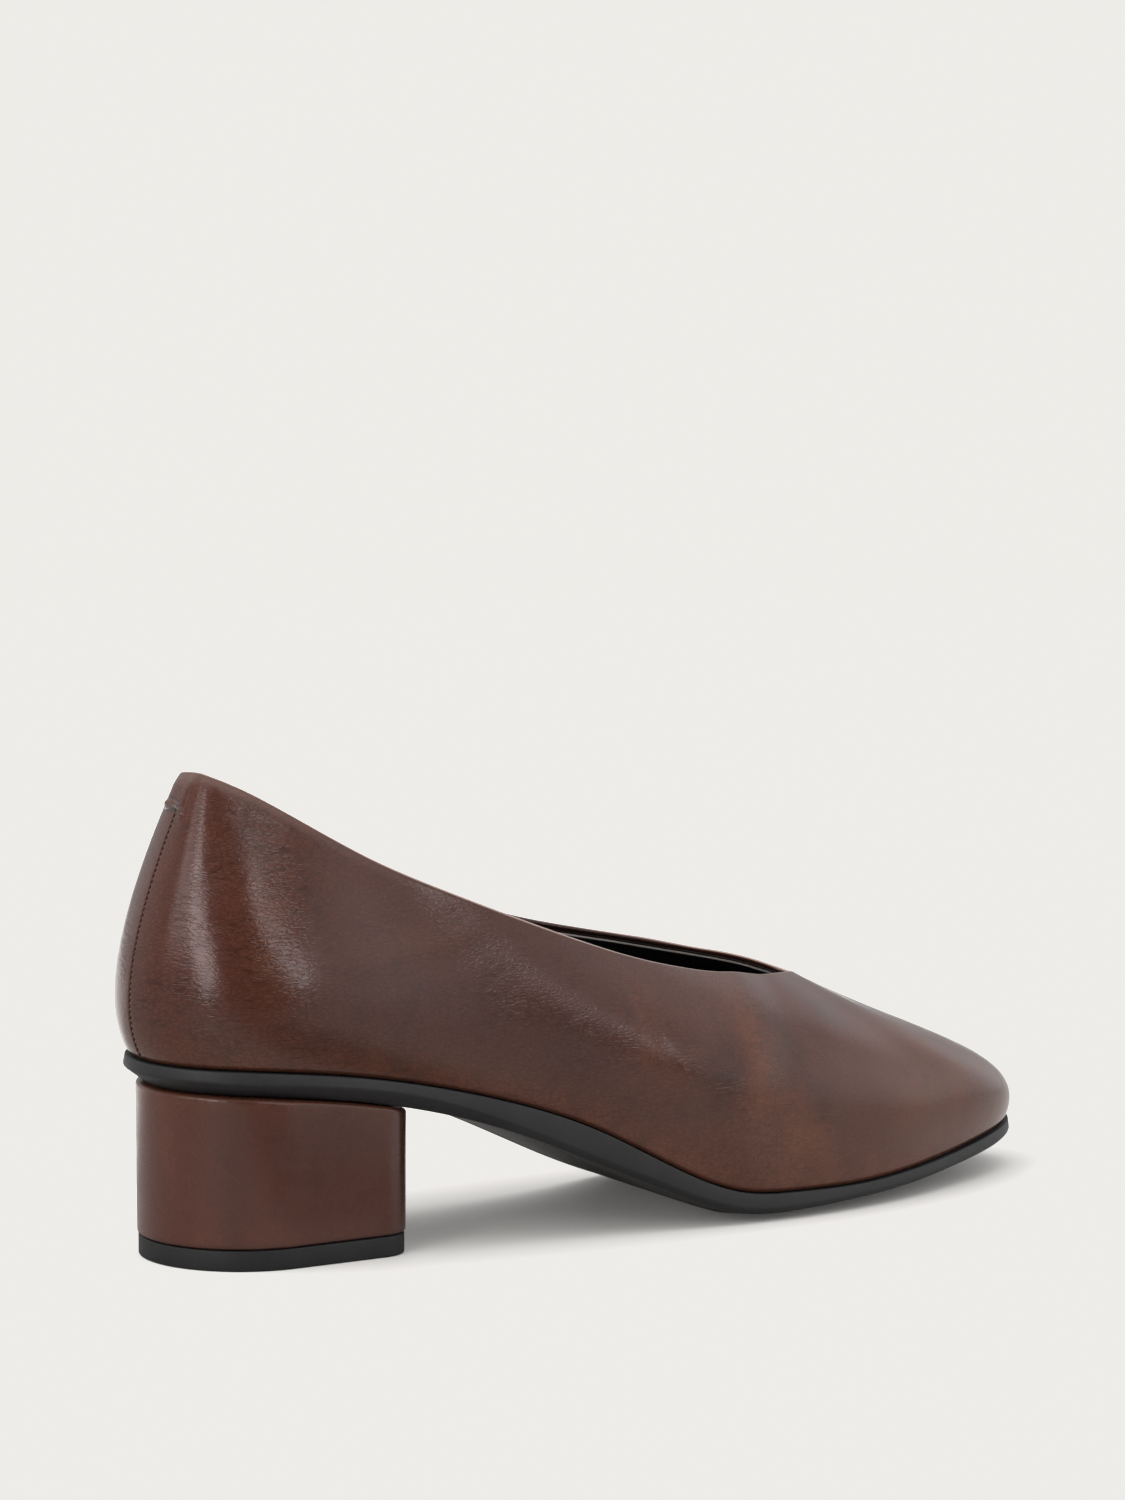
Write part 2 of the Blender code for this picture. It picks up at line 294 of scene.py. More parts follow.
@dataclass
class Last:
    """Form of the last, as smooth closed curves through the sections of the tables."""

    foot: Array = field(default_factory=lambda: closed_line(FEATHER, "height", "height"))
    top: Array = field(default_factory=lambda: closed_line(TOPLINE, "outer_height", "inner_height"))
    section: Array = field(default_factory=lambda: both_sides(SECTION))
    edge: Array = field(default_factory=lambda: both_sides(EDGE))
    level_foot: float = 3.0

    def __post_init__(self) -> None:
        """Measure the strides between sections along the feather line's plan."""
        self.strides = np.linalg.norm((np.roll(self.foot, -1, axis=0) - self.foot)[:, :2], axis=1)
        self.knots = np.cumsum(self.strides) - self.strides
        self.around = float(self.strides.sum())

    def curve(self, values: Array, at: Array) -> Array:
        """Cubic spline with no start or end, through a row of values at each section.

        Args:
            values: one row for each section.
            at: places along the feather line.

        Returns:
            One row for each place.
        """
        count = len(self.knots)
        here = np.arange(count)
        before, after = np.roll(here, 1), np.roll(here, -1)
        matrix = np.zeros((count, count))
        matrix[here, before] += self.strides[before]
        matrix[here, here] += 2 * (self.strides[before] + self.strides)
        matrix[here, after] += self.strides
        slope = (values[after] - values) / self.strides[:, None]
        bend = np.linalg.solve(matrix, 6 * (slope - slope[before]))
        at = np.mod(at, self.around)
        span = np.searchsorted(self.knots, at, side="right") - 1
        following = after[span]
        stride = self.strides[span][:, None]
        past = (at - self.knots[span])[:, None]
        ahead = stride - past
        cubic = (bend[span] * ahead**3 + bend[following] * past**3) / (6 * stride)
        start = (values[span] / stride - bend[span] * stride / 6) * ahead
        end = (values[following] / stride - bend[following] * stride / 6) * past
        return cubic + start + end

    def outward(self, loop: Array, at: Array, step: float = 0.05) -> Array:
        """Level unit vectors out of a loop, square to it in plan, at places along the feather line."""
        along = self.curve(loop, at + step) - self.curve(loop, at - step)
        return unit(np.stack([along[:, 1], -along[:, 0], np.zeros(len(at))], axis=1))

    def stations(self, between: int, extra: Numbers = ()) -> Array:
        """Places round the feather line, evenly between sections, with extra ones either side of the back.

        Args:
            between: columns from one section to the next.
            extra: distances from the back seam at which columns are added.

        Returns:
            Rising places along the feather line.
        """
        even = (self.knots[:, None] + self.strides[:, None] * np.arange(between) / between).ravel()
        added = np.mod(np.concatenate([extra, -np.array(extra)]), self.around)
        return np.unique(np.concatenate([even, added]))

    def wall(self, at: Array, shares: Array) -> Array:
        """Outer skin of the upper: in each section a cubic curve from the feather line to the topline.

        Args:
            at: places along the feather line.
            shares: shares of the way up, one list for all places or a list for each.

        Returns:
            Points by place and share.
        """
        foot, top = self.curve(self.foot, at), self.curve(self.top, at)
        foot_out, top_out = self.outward(self.foot, at), self.outward(self.top, at)
        foot_lean, foot_reach, top_lean, top_reach = self.curve(self.section, at).T[:, :, None]
        chord = np.linalg.norm(top - foot, axis=1, keepdims=True)
        foot_lean, top_lean = np.radians(foot_lean), np.radians(top_lean)
        low = foot + chord * foot_reach * (np.sin(foot_lean) * foot_out + np.cos(foot_lean) * UP)
        high = top + chord * top_reach * (np.sin(top_lean) * top_out - np.cos(top_lean) * UP)
        up = np.broadcast_to(shares, (len(at), np.shape(shares)[-1]))[:, :, None]
        rest = 1 - up
        foot, low, high, top = (points[:, None, :] for points in (foot, low, high, top))
        return rest**3 * foot + 3 * up * rest**2 * low + 3 * up**2 * rest * high + up**3 * top

    def normals(self, skin: Array, at: Array) -> Array:
        """Unit normals of a skin, turned level at its foot so that a wall stands on the feather line.

        Args:
            skin: points by place and share.
            at: places along the feather line.

        Returns:
            One vector for each point, pointing out of the shoe.
        """
        along = np.roll(skin, -1, axis=0) - np.roll(skin, 1, axis=0)
        square = unit(np.cross(along, np.gradient(skin, axis=1)))
        level = self.outward(self.foot, at)[:, None, :]
        share = ease(self.climb(skin), 0.0, self.level_foot)[:, :, None]
        return unit(level + share * (square - level))

    def climb(self, skin: Array) -> Array:
        """Distance of each point from the foot of its column, along the skin."""
        steps = np.linalg.norm(np.diff(skin, axis=1), axis=2)
        return np.pad(np.cumsum(steps, axis=1), ((0, 0), (1, 0)))


@dataclass
class Surface:
    """A closed mesh in shoe millimetres, with named numbers at its points where a finish needs them."""

    points: Array
    faces: list[list[int]]
    fields: dict[str, Array] = field(default_factory=dict)

    @classmethod
    def from_loops(
        cls, loops: list[Array], ring: bool, fields: dict[str, list[Array]] | None = None
    ) -> "Surface":
        """Surface made by bridging loops that have the same number of points.

        Args:
            loops: closed loops in order, counterclockwise seen from above and going down the outside.
            ring: True joins the last loop to the first, False closes both ends with strips.
            fields: numbers for each point of each loop.

        Returns:
            The closed surface.
        """
        count, total = len(loops[0]), len(loops)
        faces = bridge(total, count, ring=ring)
        if not ring:
            faces += cls.strips(count, 0, True) + cls.strips(count, count * (total - 1), False)
        named = {name: np.concatenate(values) for name, values in (fields or {}).items()}
        return cls(np.concatenate(loops), faces, named)

    @staticmethod
    def strips(count: int, first: int, upward: bool) -> list[list[int]]:
        """Faces that close a loop with strips from one side of the shoe to the other.

        Args:
            count: number of points of the loop.
            first: number of the loop's first point.
            upward: True where the faces look up.

        Returns:
            Point numbers of each face.
        """
        middle = (count - 1) // 2
        faces = [[0, 1, count - 1]]
        faces += [[place, place + 1, count - place - 1, count - place] for place in range(1, middle)]
        if count % 2 == 0:
            faces.append([middle, middle + 1, middle + 2])
        return [[first + point for point in (face if upward else face[::-1])] for face in faces]

    def piece(
        self, name: str, material: bpy.types.Material, slot: Slot, sharp: float = 40.0
    ) -> bpy.types.Object:
        """Make the mesh in metres, dress it and let it ride with the shoe.

        Args:
            name: name of the object.
            material: finish of the surface.
            slot: slot of the record that the finish belongs to; not used.
            sharp: edges with a sharper turn than this many degrees stay sharp.

        Returns:
            The new object.
        """
        mesh = bpy.data.meshes.new(name)
        mesh.from_pydata(((self.points - shoe_origin()) / METRE).tolist(), [], self.faces)
        for label, values in self.fields.items():
            numbers = mesh.attributes.new(label, "FLOAT", "POINT").data
            numbers.foreach_set("value", values.astype(np.float32))
        mesh.materials.append(material)
        mesh.shade_smooth()
        mesh.set_sharp_from_angle(angle=math.radians(sharp))
        made = bpy.data.objects.new(name, mesh)
        bpy.context.scene.collection.objects.link(made)
        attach(made, BODY)
        LOG.info("%s: %d points, %d faces", name, len(mesh.vertices), len(mesh.polygons))
        return made


def shoe_origin() -> Array:
    """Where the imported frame's origin lies in shoe millimetres, read from the lift's box."""
    low, high = (np.array(corner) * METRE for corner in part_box("top_lift"))
    lift_back = HeelBlock.back + HeelBlock.taper + TopLift.inset
    return np.array([lift_back - low[0], -(low[1] + high[1]) / 2, 0.0])


@dataclass
class Nodes:
    """A node tree with short calls for the nodes that the finishes use."""

    tree: bpy.types.NodeTree

    def add(
        self, kind: str, inputs: dict[str | int, object] | None = None, **settings: object
    ) -> bpy.types.Node:
        """Add a node, set its properties and link or set its inputs.

        Args:
            kind: type name of the node.
            inputs: sockets or values by input name or number.
            **settings: properties of the node.

        Returns:
            The new node.
        """
        node = self.tree.nodes.new(kind)
        for name, value in settings.items():
            setattr(node, name, value)
        for key, value in (inputs or {}).items():
            if isinstance(value, Socket):
                self.tree.links.new(value, node.inputs[key])
            else:
                node.inputs[key].default_value = value
        return node

    def place(self, scale: Triple = (1, 1, 1)) -> Socket:
        """Object coordinates in metres, stretched by a scale."""
        where = self.add("ShaderNodeTexCoord").outputs["Object"]
        return self.add("ShaderNodeMapping", {"Vector": where, "Scale": scale}).outputs["Vector"]

    def noise(
        self, where: Socket, scale: float, layers: float = 3, rough: float = 0.5, bend: float = 0
    ) -> Socket:
        """Noise from 0 to 1: waves in a metre, finer layers, strength of each beside the last, distortion."""
        inputs = {"Vector": where, "Scale": scale, "Detail": layers, "Roughness": rough, "Distortion": bend}
        return self.add("ShaderNodeTexNoise", inputs).outputs["Fac"]

    def gaps(self, where: Socket, scale: float) -> Socket:
        """Distance to the nearest gap between pebbles, with a number of pebbles in a metre."""
        inputs = {"Vector": where, "Scale": scale}
        return self.add("ShaderNodeTexVoronoi", inputs, feature="DISTANCE_TO_EDGE").outputs["Distance"]

    def bent(self, where: Socket, scale: float, reach: float) -> Socket:
        """Coordinates pushed about by a noise with a number of waves in a metre, up to half the reach."""
        push = self.add("ShaderNodeTexNoise", {"Vector": where, "Scale": scale}).outputs["Color"]
        inputs = {0: push, 1: (reach, reach, reach), 2: where}
        return self.add("ShaderNodeVectorMath", inputs, operation="MULTIPLY_ADD").outputs[0]

    def math(self, kind: str, first: Socket | float, second: Socket | float = 0.0) -> Socket:
        """One arithmetic step on two values."""
        return self.add("ShaderNodeMath", {0: first, 1: second}, operation=kind).outputs[0]

    def ramp(self, value: Socket, low: float, high: float, start: float = 0.0, end: float = 1.0) -> Socket:
        """Smooth step of a value, from start at low to end at high."""
        inputs = {"Value": value, "From Min": low, "From Max": high, "To Min": start, "To Max": end}
        return self.add("ShaderNodeMapRange", inputs, interpolation_type="SMOOTHSTEP").outputs["Result"]

    def mix(self, share: Socket | float, first: Socket | Colour, second: Socket | Colour) -> Socket:
        """Colour between two colours.

        Args:
            share: 0 gives the first colour, 1 the second.
            first: first colour or socket.
            second: second colour or socket.

        Returns:
            The colour socket.
        """
        first, second = (one if isinstance(one, Socket) else (*one, 1.0) for one in (first, second))
        inputs = {0: share, 6: first, 7: second}
        return self.add("ShaderNodeMix", inputs, data_type="RGBA", clamp_factor=True).outputs[2]

    def azimuth(self, x: Socket, y: Socket) -> Socket:
        """Direction round the shoe in degrees, zero at its outer side."""
        return self.math("DIVIDE", self.math("ARCTAN2", x, self.math("MULTIPLY", y, -1.0)), DEGREE)

    def field(self, name: str) -> Socket:
        """Number stored at the mesh's points under a name."""
        return self.add("ShaderNodeAttribute", attribute_name=name).outputs["Fac"]

    def bump(self, height: Socket, strength: float, depth: float) -> Socket:
        """Normal tilted by a height field, its depth in millimetres."""
        inputs = {"Height": height, "Strength": strength, "Distance": depth / METRE}
        return self.add("ShaderNodeBump", inputs).outputs["Normal"]


def new_material(name: str) -> tuple[bpy.types.Material, Nodes, bpy.types.Node]:
    """Empty Principled material.

    Args:
        name: name of the material.

    Returns:
        The material, its nodes and its shader.
    """
    material = bpy.data.materials.new(name)
    material.use_nodes = True
    nodes = Nodes(material.node_tree)
    return material, nodes, material.node_tree.nodes["Principled BSDF"]


@dataclass(frozen=True)
class BurnishedLeather:
    """Polished brown calf: mottled tone, pebbled grain with clumps of short wrinkles, and a waxed gloss.

    A noise is waves in a metre, finer layers, their strength and distortion. A step is the low and high
    value that it runs between, and its results there where they aren't 0 and 1.
    """

    name: str
    brown: Colour = (0.0665, 0.0222, 0.0150)
    warm: Colour = (0.120, 0.043, 0.0220)
    grey: Colour = (0.040, 0.0178, 0.0132)
    # Near black for pores and grain grooves, and for the painted shade where the line field is set
    line: Colour = (0.012, 0.006, 0.004)
    pale: Colour = (0.135, 0.066, 0.042)
    # Pale colour of a painted highlight on the topline rim and along the back of the collar
    painted_sheen: Colour = (0.34, 0.25, 0.22)
    sheen_tint: Colour = (1.0, 0.85, 0.84)
    roughness: float = 0.16
    specular: float = 0.30
    coat: float = 0.20
    coat_roughness: float = 0.09
    gloss_step: Numbers = (0.3, 0.7)
    gloss_range: Pair = (-0.05, 0.06)
    grain: float = 0.55
    grain_depth: float = 0.05
    cloud_noise: Numbers = (42.0, 4, 0.55, 0.6)
    warm_clouds: Numbers = (0.52, 0.75, 0.0, 0.2)
    grey_clouds: Numbers = (0.48, 0.28, 0.0, 0.6)
    mottle_noise: Numbers = (150.0, 3, 0.55, 0.4)
    warm_mottle: Numbers = (0.3, 0.65, 0.55, 1.0)
    grey_mottle: Numbers = (0.68, 0.34, 0.5, 1.0)
    pore_stretch: Triple = (0.6, 0.6, 1.3)
    pore_noise: Numbers = (2400.0, 2, 0.6)
    dark_pores: Numbers = (0.44, 0.26)
    speckle: float = 0.5
    pale_pores: Numbers = (0.58, 0.76)
    fleck: float = 0.25
    wobble_scale: float = 380.0
    wobble: float = 0.0011
    pebble_scale: float = 820.0
    pebble_gap: Numbers = (0.2, 0.02)
    gap_share: float = 0.55
    wrinkle_stretch: Triple = (0.45, 0.45, 1.7)
    wrinkle_noise: Numbers = (420.0, 1, 0.5, 0.8)
    wrinkle_middle: float = 0.5
    wrinkle_step: Numbers = (0.075, 0.0)
    clump_noise: Numbers = (110.0, 2)
    clump_step: Numbers = (0.4, 0.58, 0.2, 1.0)
    groove: float = 0.6

    def material(self) -> bpy.types.Material:
        """Tone from clouds of noise over the listed patches, with grain in tone and bump.

        Returns:
            The finished material.
        """
        made, nodes, shader = new_material(self.name)
        where = nodes.place()
        clouds = nodes.noise(where, *self.cloud_noise)
        mottle = nodes.noise(where, *self.mottle_noise)
        warm = nodes.math("ADD", nodes.field("warm"), nodes.ramp(clouds, *self.warm_clouds))
        grey = nodes.math("ADD", nodes.field("grey"), nodes.ramp(clouds, *self.grey_clouds))
        warm = nodes.math("MULTIPLY", warm, nodes.ramp(mottle, *self.warm_mottle))
        grey = nodes.math("MULTIPLY", grey, nodes.ramp(mottle, *self.grey_mottle))
        tone = nodes.mix(warm, self.brown, self.warm)
        tone = nodes.mix(grey, tone, self.grey)
        stretched = nodes.place(self.pore_stretch)
        pores = nodes.noise(stretched, *self.pore_noise)
        tone = nodes.mix(nodes.ramp(pores, *self.dark_pores, 0.0, self.speckle), tone, self.line)
        tone = nodes.mix(nodes.ramp(pores, *self.pale_pores, 0.0, self.fleck), tone, self.pale)
        bent = nodes.bent(stretched, self.wobble_scale, self.wobble)
        gaps = nodes.ramp(nodes.gaps(bent, self.pebble_scale), *self.pebble_gap)
        folds = nodes.noise(nodes.place(self.wrinkle_stretch), *self.wrinkle_noise)
        ridges = nodes.math("ABSOLUTE", nodes.math("SUBTRACT", folds, self.wrinkle_middle))
        clumps = nodes.ramp(nodes.noise(where, *self.clump_noise), *self.clump_step)
        wrinkles = nodes.math("MULTIPLY", nodes.ramp(ridges, *self.wrinkle_step), clumps)
        depth = nodes.math("MAXIMUM", nodes.math("MULTIPLY", gaps, self.gap_share), wrinkles)
        depth = nodes.math("MULTIPLY", depth, nodes.field("grain"))
        tone = nodes.mix(nodes.math("MULTIPLY", depth, self.groove), tone, self.line)
        # Painted shade from the line field, then a painted pale highlight from the field after it
        tone = nodes.mix(nodes.field("line"), tone, self.line)
        tone = nodes.mix(nodes.field("painted_sheen"), tone, self.painted_sheen)
        normal = nodes.bump(nodes.math("SUBTRACT", 1.0, depth), self.grain, self.grain_depth)
        dull = (self.roughness + change for change in self.gloss_range)
        gloss = nodes.ramp(mottle, *self.gloss_step, *dull)
        links = made.node_tree.links
        links.new(tone, shader.inputs["Base Color"])
        links.new(gloss, shader.inputs["Roughness"])
        links.new(normal, shader.inputs["Normal"])
        links.new(normal, shader.inputs["Coat Normal"])
        shader.inputs["Specular IOR Level"].default_value = self.specular
        shader.inputs["Specular Tint"].default_value = (*self.sheen_tint, 1.0)
        shader.inputs["Coat Weight"].default_value = self.coat
        shader.inputs["Coat Roughness"].default_value = self.coat_roughness
        return made


@dataclass(frozen=True)
class Matt:
    """A dull dark material with a fine even tooth, and another tone where its edge field is set."""

    name: str
    tone: Colour
    bloom: Colour
    roughness: float
    specular: float
    tooth_scale: float
    tooth: float
    edge: Colour = (0.05, 0.03, 0.024)
    tooth_layers: Numbers = (3, 0.6)
    tooth_step: Numbers = (0.3, 0.7)
    tooth_depth: float = 0.08
    spread: float = 0.06
    cloud_noise: Numbers = (60.0, 4, 0.6)
    cloud_step: Numbers = (0.35, 0.7)

    def material(self) -> bpy.types.Material:
        """Tone that varies softly towards its bloom, with a fine tooth in bump and roughness.

        Returns:
            The finished material.
        """
        made, nodes, shader = new_material(self.name)
        where = nodes.place()
        cloud = nodes.noise(where, *self.cloud_noise)
        tooth = nodes.noise(where, self.tooth_scale, *self.tooth_layers)
        tone = nodes.mix(nodes.ramp(cloud, *self.cloud_step), self.tone, self.bloom)
        tone = nodes.mix(nodes.field("edge"), tone, self.edge)
        dull = nodes.ramp(tooth, *self.tooth_step, self.roughness - self.spread, self.roughness + self.spread)
        links = made.node_tree.links
        links.new(tone, shader.inputs["Base Color"])
        links.new(dull, shader.inputs["Roughness"])
        links.new(nodes.bump(tooth, self.tooth, self.tooth_depth), shader.inputs["Normal"])
        shader.inputs["Specular IOR Level"].default_value = self.specular
        return made


@dataclass
class Upper:
    """Hollow leather upper with its lining, back tab and back seam.

    A zone is the pair of places, or of distances from a named edge, between which a form fades.
    """

    last: Last
    between: int = 10
    rows: int = 84
    foot_rows: int = 8
    foot_share: float = 0.03
    tab_rows: int = 26
    tab_rows_zone: Pair = (6.6, 10.0)
    back_height: float = 69.0
    side_zone: Pair = (-2.0, 6.0)
    tuck: float = 0.4
    tuck_height: float = 0.8
    crease_fade: float = 3.0

    # Rim of the topline: loops from inside to outside, painted shade within, painted highlight outside,
    # roll-in at the back
    rim_points: int = 7
    rim_shaded: int = 3
    rim_highlit: tuple[int, int] = (4, 7)
    rim_highlight: float = 0.85
    facing_shade: float = 0.8
    roll_in: float = 0.45
    roll_in_width: float = 3.4
    roll_in_zone: Pair = (26.0, 46.0)

    # Folded tab over the back seam, with a roll at its lower edge
    tab_middle: float = 1.2
    tab_half: float = 4.5
    tab_soft: float = 0.9
    tab_height: float = 9.2
    tab_step: float = 0.55
    tab_zone: Pair = (0.3, 4.5)
    tab_edge: Pair = (-0.2, 0.25)
    tab_curl: float = 2.0
    curl_zone: Pair = (-2.2, 0.6)
    tab_roll: float = 0.62
    roll_half: float = 1.1
    roll_round: float = 0.75
    roll_full: float = 1.15
    roll_thin: float = 0.6
    thin_from: float = -1.0
    thin_to: float = -0.8
    crimp: float = 0.25
    crimp_half: float = 0.25

    # Tones: warm foot, its dark line of edge ink and painted gap shade, painted shade in the tab's folds,
    # grain by place, painted sheen along the collar at the back
    foot_warm: float = 0.55
    foot_warm_height: float = 7.0
    foot_line: float = 0.9
    foot_line_height: float = 0.45
    fold_shade: float = 0.95
    fold_drop: float = 0.2
    fold_half: float = 0.32
    toe_grain: float = 0.25
    quarter_grain: float = 0.4
    quarter_zone: Pair = (150.0, 190.0)
    back_grain: float = 0.25
    back_zone: Pair = (24.0, 44.0)
    collar_sheen: float = 0.08
    collar_drop: float = 0.8
    collar_half: float = 1.6
    collar_zone: Pair = (40.0, 75.0)

    # Lining, and the leather's facing over its top edge
    facing: float = 1.3
    lining_rows: int = 40
    lining_gap: float = 0.05
    lining_crown: float = 0.3
    probe_rows: int = 60

    # Back seam and its stitches
    seam_depth: float = 0.18
    seam_half: float = 0.24
    seam_limit: float = 40.0
    seam_columns: Numbers = (0.25, 0.5, 0.75, 1.05)
    seam_rows: int = 600
    stitch_place: float = 0.12
    stitch_from: float = 1.6
    stitch_short: float = 0.4
    stitch_pitch: float = 1.35
    stitch_length: float = 1.0
    stitch_width: float = 0.42
    stitch_height: float = 0.26
    stitch_sink: float = 0.1
    stitch_blunt: float = 0.97
    stitch_turns: int = 10
    stitch_steps: int = 7

    leather_finish: BurnishedLeather = BurnishedLeather("upper_leather")
    lining_finish: Matt = Matt(
        "lining_leather",
        tone=(0.006, 0.0055, 0.0055),
        bloom=(0.009, 0.008, 0.008),
        roughness=0.6,
        specular=0.3,
        tooth_scale=900,
        tooth=0.2,
        edge=(0.5, 0.45, 0.42),
    )
    thread_finish: Matt = Matt(
        "seam_thread",
        tone=(0.05, 0.02, 0.013),
        bloom=(0.07, 0.03, 0.02),
        roughness=0.5,
        specular=0.4,
        tooth_scale=3000,
        tooth=0.4,
    )

    def shares(self) -> Array:
        """Shares of the way up at which rows lie, close together at the foot and at the tab's edge."""
        tab = 1 - np.linspace(*self.tab_rows_zone, self.tab_rows) / self.back_height
        foot = np.linspace(0, self.foot_share, self.foot_rows)
        return np.unique(np.concatenate([np.linspace(0, 1, self.rows), tab, foot]))

    def near_side(self, side: Array, across: Array) -> Array:
        """Weight of a place on one side of the shoe, fading over the middle."""
        return ease(across * side, *self.side_zone)

    def on_tab(self, skin: Array) -> Array:
        """Weight of points, by place and share, on the width of the back tab, soft at its sides."""
        off = np.abs(skin[:, :, 1] - self.tab_middle)
        inside = 1 - ease(off, self.tab_half - self.tab_soft, self.tab_half + self.tab_soft)
        return (skin[:, :, 0] < self.seam_limit) * inside

    def tab_lip(self, skin: Array) -> tuple[Array, Array]:
        """Edge of the tab's roll, which gets thin and curls down at its outer end.

        Args:
            skin: points by place and share.

        Returns:
            Distance of the roll's lower edge under the topline, and half the roll's thickness.
        """
        to_outside = self.tab_middle - skin[:, :, 1]
        curl = ease(to_outside, *(self.tab_half + reach for reach in self.curl_zone))
        thin = ease(to_outside, self.thin_from, self.tab_half + self.thin_to)
        half = self.roll_half * (self.roll_full - self.roll_thin * thin)
        return self.tab_height + self.tab_curl * curl, half

    def relief(self, skin: Array) -> Array:
        """Height of the fine forms over the last: tucked foot, back seam, tab, rolled rim and the creases.

        A crease is a bell across the line between its ends, faded beyond them.

        Args:
            skin: points by place and share.

        Returns:
            Height along the normal at each point.
        """
        x, y, z = np.moveaxis(skin, 2, 0)
        from_foot = self.last.climb(skin)
        from_top = from_foot[:, -1:] - from_foot
        behind = x < self.seam_limit
        on_tab = self.on_tab(skin)
        lip, half = self.tab_lip(skin)
        below_tab = ease(from_top, *(lip + reach for reach in self.tab_edge))
        roll = bell(from_top - lip + half, self.roll_round * half)
        height = -self.tuck * bell(from_foot, self.tuck_height)
        height -= self.seam_depth * behind * bell(y, self.seam_half) * below_tab
        height += self.tab_step * on_tab * (1 - below_tab) * ease(from_top, *self.tab_zone)
        height += self.tab_roll * on_tab * roll * (1 - below_tab)
        height -= self.crimp * on_tab * bell(from_top - lip + 2 * half, self.crimp_half)
        rolled = np.clip(1 - from_top / self.roll_in_width, 0, 1) ** 2
        height -= self.roll_in * (1 - ease(x, *self.roll_in_zone)) * rolled
        for side, start_x, start_z, end_x, end_z, width, rise in np.stack(list(CREASES.values()), axis=1):
            run = np.array([end_x - start_x, end_z - start_z])
            length = np.linalg.norm(run)
            along = ((x - start_x) * run[0] + (z - start_z) * run[1]) / length
            off = ((x - start_x) * run[1] - (z - start_z) * run[0]) / length
            past = np.maximum(np.maximum(-along, along - length), 0)
            fade = bell(past, self.crease_fade * width) * self.near_side(side, y)
            height += rise * bell(off, width) * fade
        return height

    def patches(self, skin: Array) -> dict[str, Array]:
        """Shares of warm and grey tone, of painted sheen, of dark line with painted shade, and of grain.

        Each patch is a bell over its place on the side it belongs to. The foot of the upper is warm all
        along, with a dark line of edge ink and painted gap shade where it meets the sole. The tab's folds
        get painted shade. The grain is deep at the back and faint at the toe.

        Args:
            skin: points by place and share.

        Returns:
            Numbers at each point, by name.
        """
        x, y, z = np.moveaxis(skin, 2, 0)
        from_foot = self.last.climb(skin)
        from_top = from_foot[:, -1:] - from_foot
        warm = self.foot_warm * bell(from_foot, self.foot_warm_height)
        grey = np.zeros_like(x)
        for side, at_x, at_z, along, up, to_warm, to_grey in np.stack(list(PATCHES.values()), axis=1):
            share = bell(x - at_x, along) * bell(z - at_z, up) * self.near_side(side, y)
            warm += to_warm * share
            grey += to_grey * share
        grain = self.toe_grain + self.quarter_grain * (1 - ease(x, *self.quarter_zone))
        grain += self.back_grain * (1 - ease(x, *self.back_zone))
        # Painted sheen: a pale band just under the top of the collar at the back
        painted_sheen = self.collar_sheen * bell(from_top - self.collar_drop, self.collar_half)
        painted_sheen *= 1 - ease(x, *self.collar_zone)
        lip, half = self.tab_lip(skin)
        # Painted shade in the tab's folds: under its roll and in the crimp above it
        folds = bell(from_top - lip - self.fold_drop, self.fold_half)
        folds += bell(from_top - lip + 2 * half, self.crimp_half)
        # Dark line at the foot: edge ink with painted shade of the gap under the upper
        line = self.foot_line * bell(from_foot, self.foot_line_height)
        line += self.fold_shade * self.on_tab(skin) * folds
        return {"warm": warm, "grey": grey, "line": line, "grain": grain, "painted_sheen": painted_sheen}

    def leather(self) -> Surface:
        """Leather shell: over the rolled rim, down the outside and up the inside.

        The rim is a half circle from the inner skin to the outer one, with painted shade inside and a painted
        highlight outside.

        Returns:
            The closed shell.
        """
        at = self.last.stations(self.between, self.seam_columns)
        skin = self.last.wall(at, self.shares())
        normals = self.last.normals(skin, at)
        outside = skin + self.relief(skin)[:, :, None] * normals
        inside = (skin - LEATHER * normals)[:, ::2]
        start, end = inside[:, -1], outside[:, -1]
        middle, half = (start + end) / 2, (end - start) / 2
        rise = unit(skin[:, -1] - skin[:, -2]) * np.linalg.norm(half, axis=1, keepdims=True)
        turns = np.linspace(np.pi, 0, self.rim_points + 2)[1:-1]
        rim = [middle + np.cos(turn) * half + np.sin(turn) * rise for turn in turns]
        down, up = np.moveaxis(outside, 1, 0)[::-1], np.moveaxis(inside, 1, 0)
        shaded, highlit, bare = (np.full(len(at), share) for share in (self.facing_shade, self.rim_highlight, 0.0))
        fields = {}
        for name, values in self.patches(skin).items():
            within = shaded if name == "line" else bare
            fields[name] = [values[:, -1]] * len(rim) + list(values.T[::-1]) + [within] * len(up)
        # Painted highlight on the rim's outer loops; painted shade on its inner loops and on the facing
        # inside
        first, beyond = self.rim_highlit
        fields["painted_sheen"][first:beyond] = [highlit] * (beyond - first)
        fields["line"][: self.rim_shaded] = [shaded] * self.rim_shaded
        return Surface.from_loops(rim + list(down) + list(up), ring=True, fields=fields)

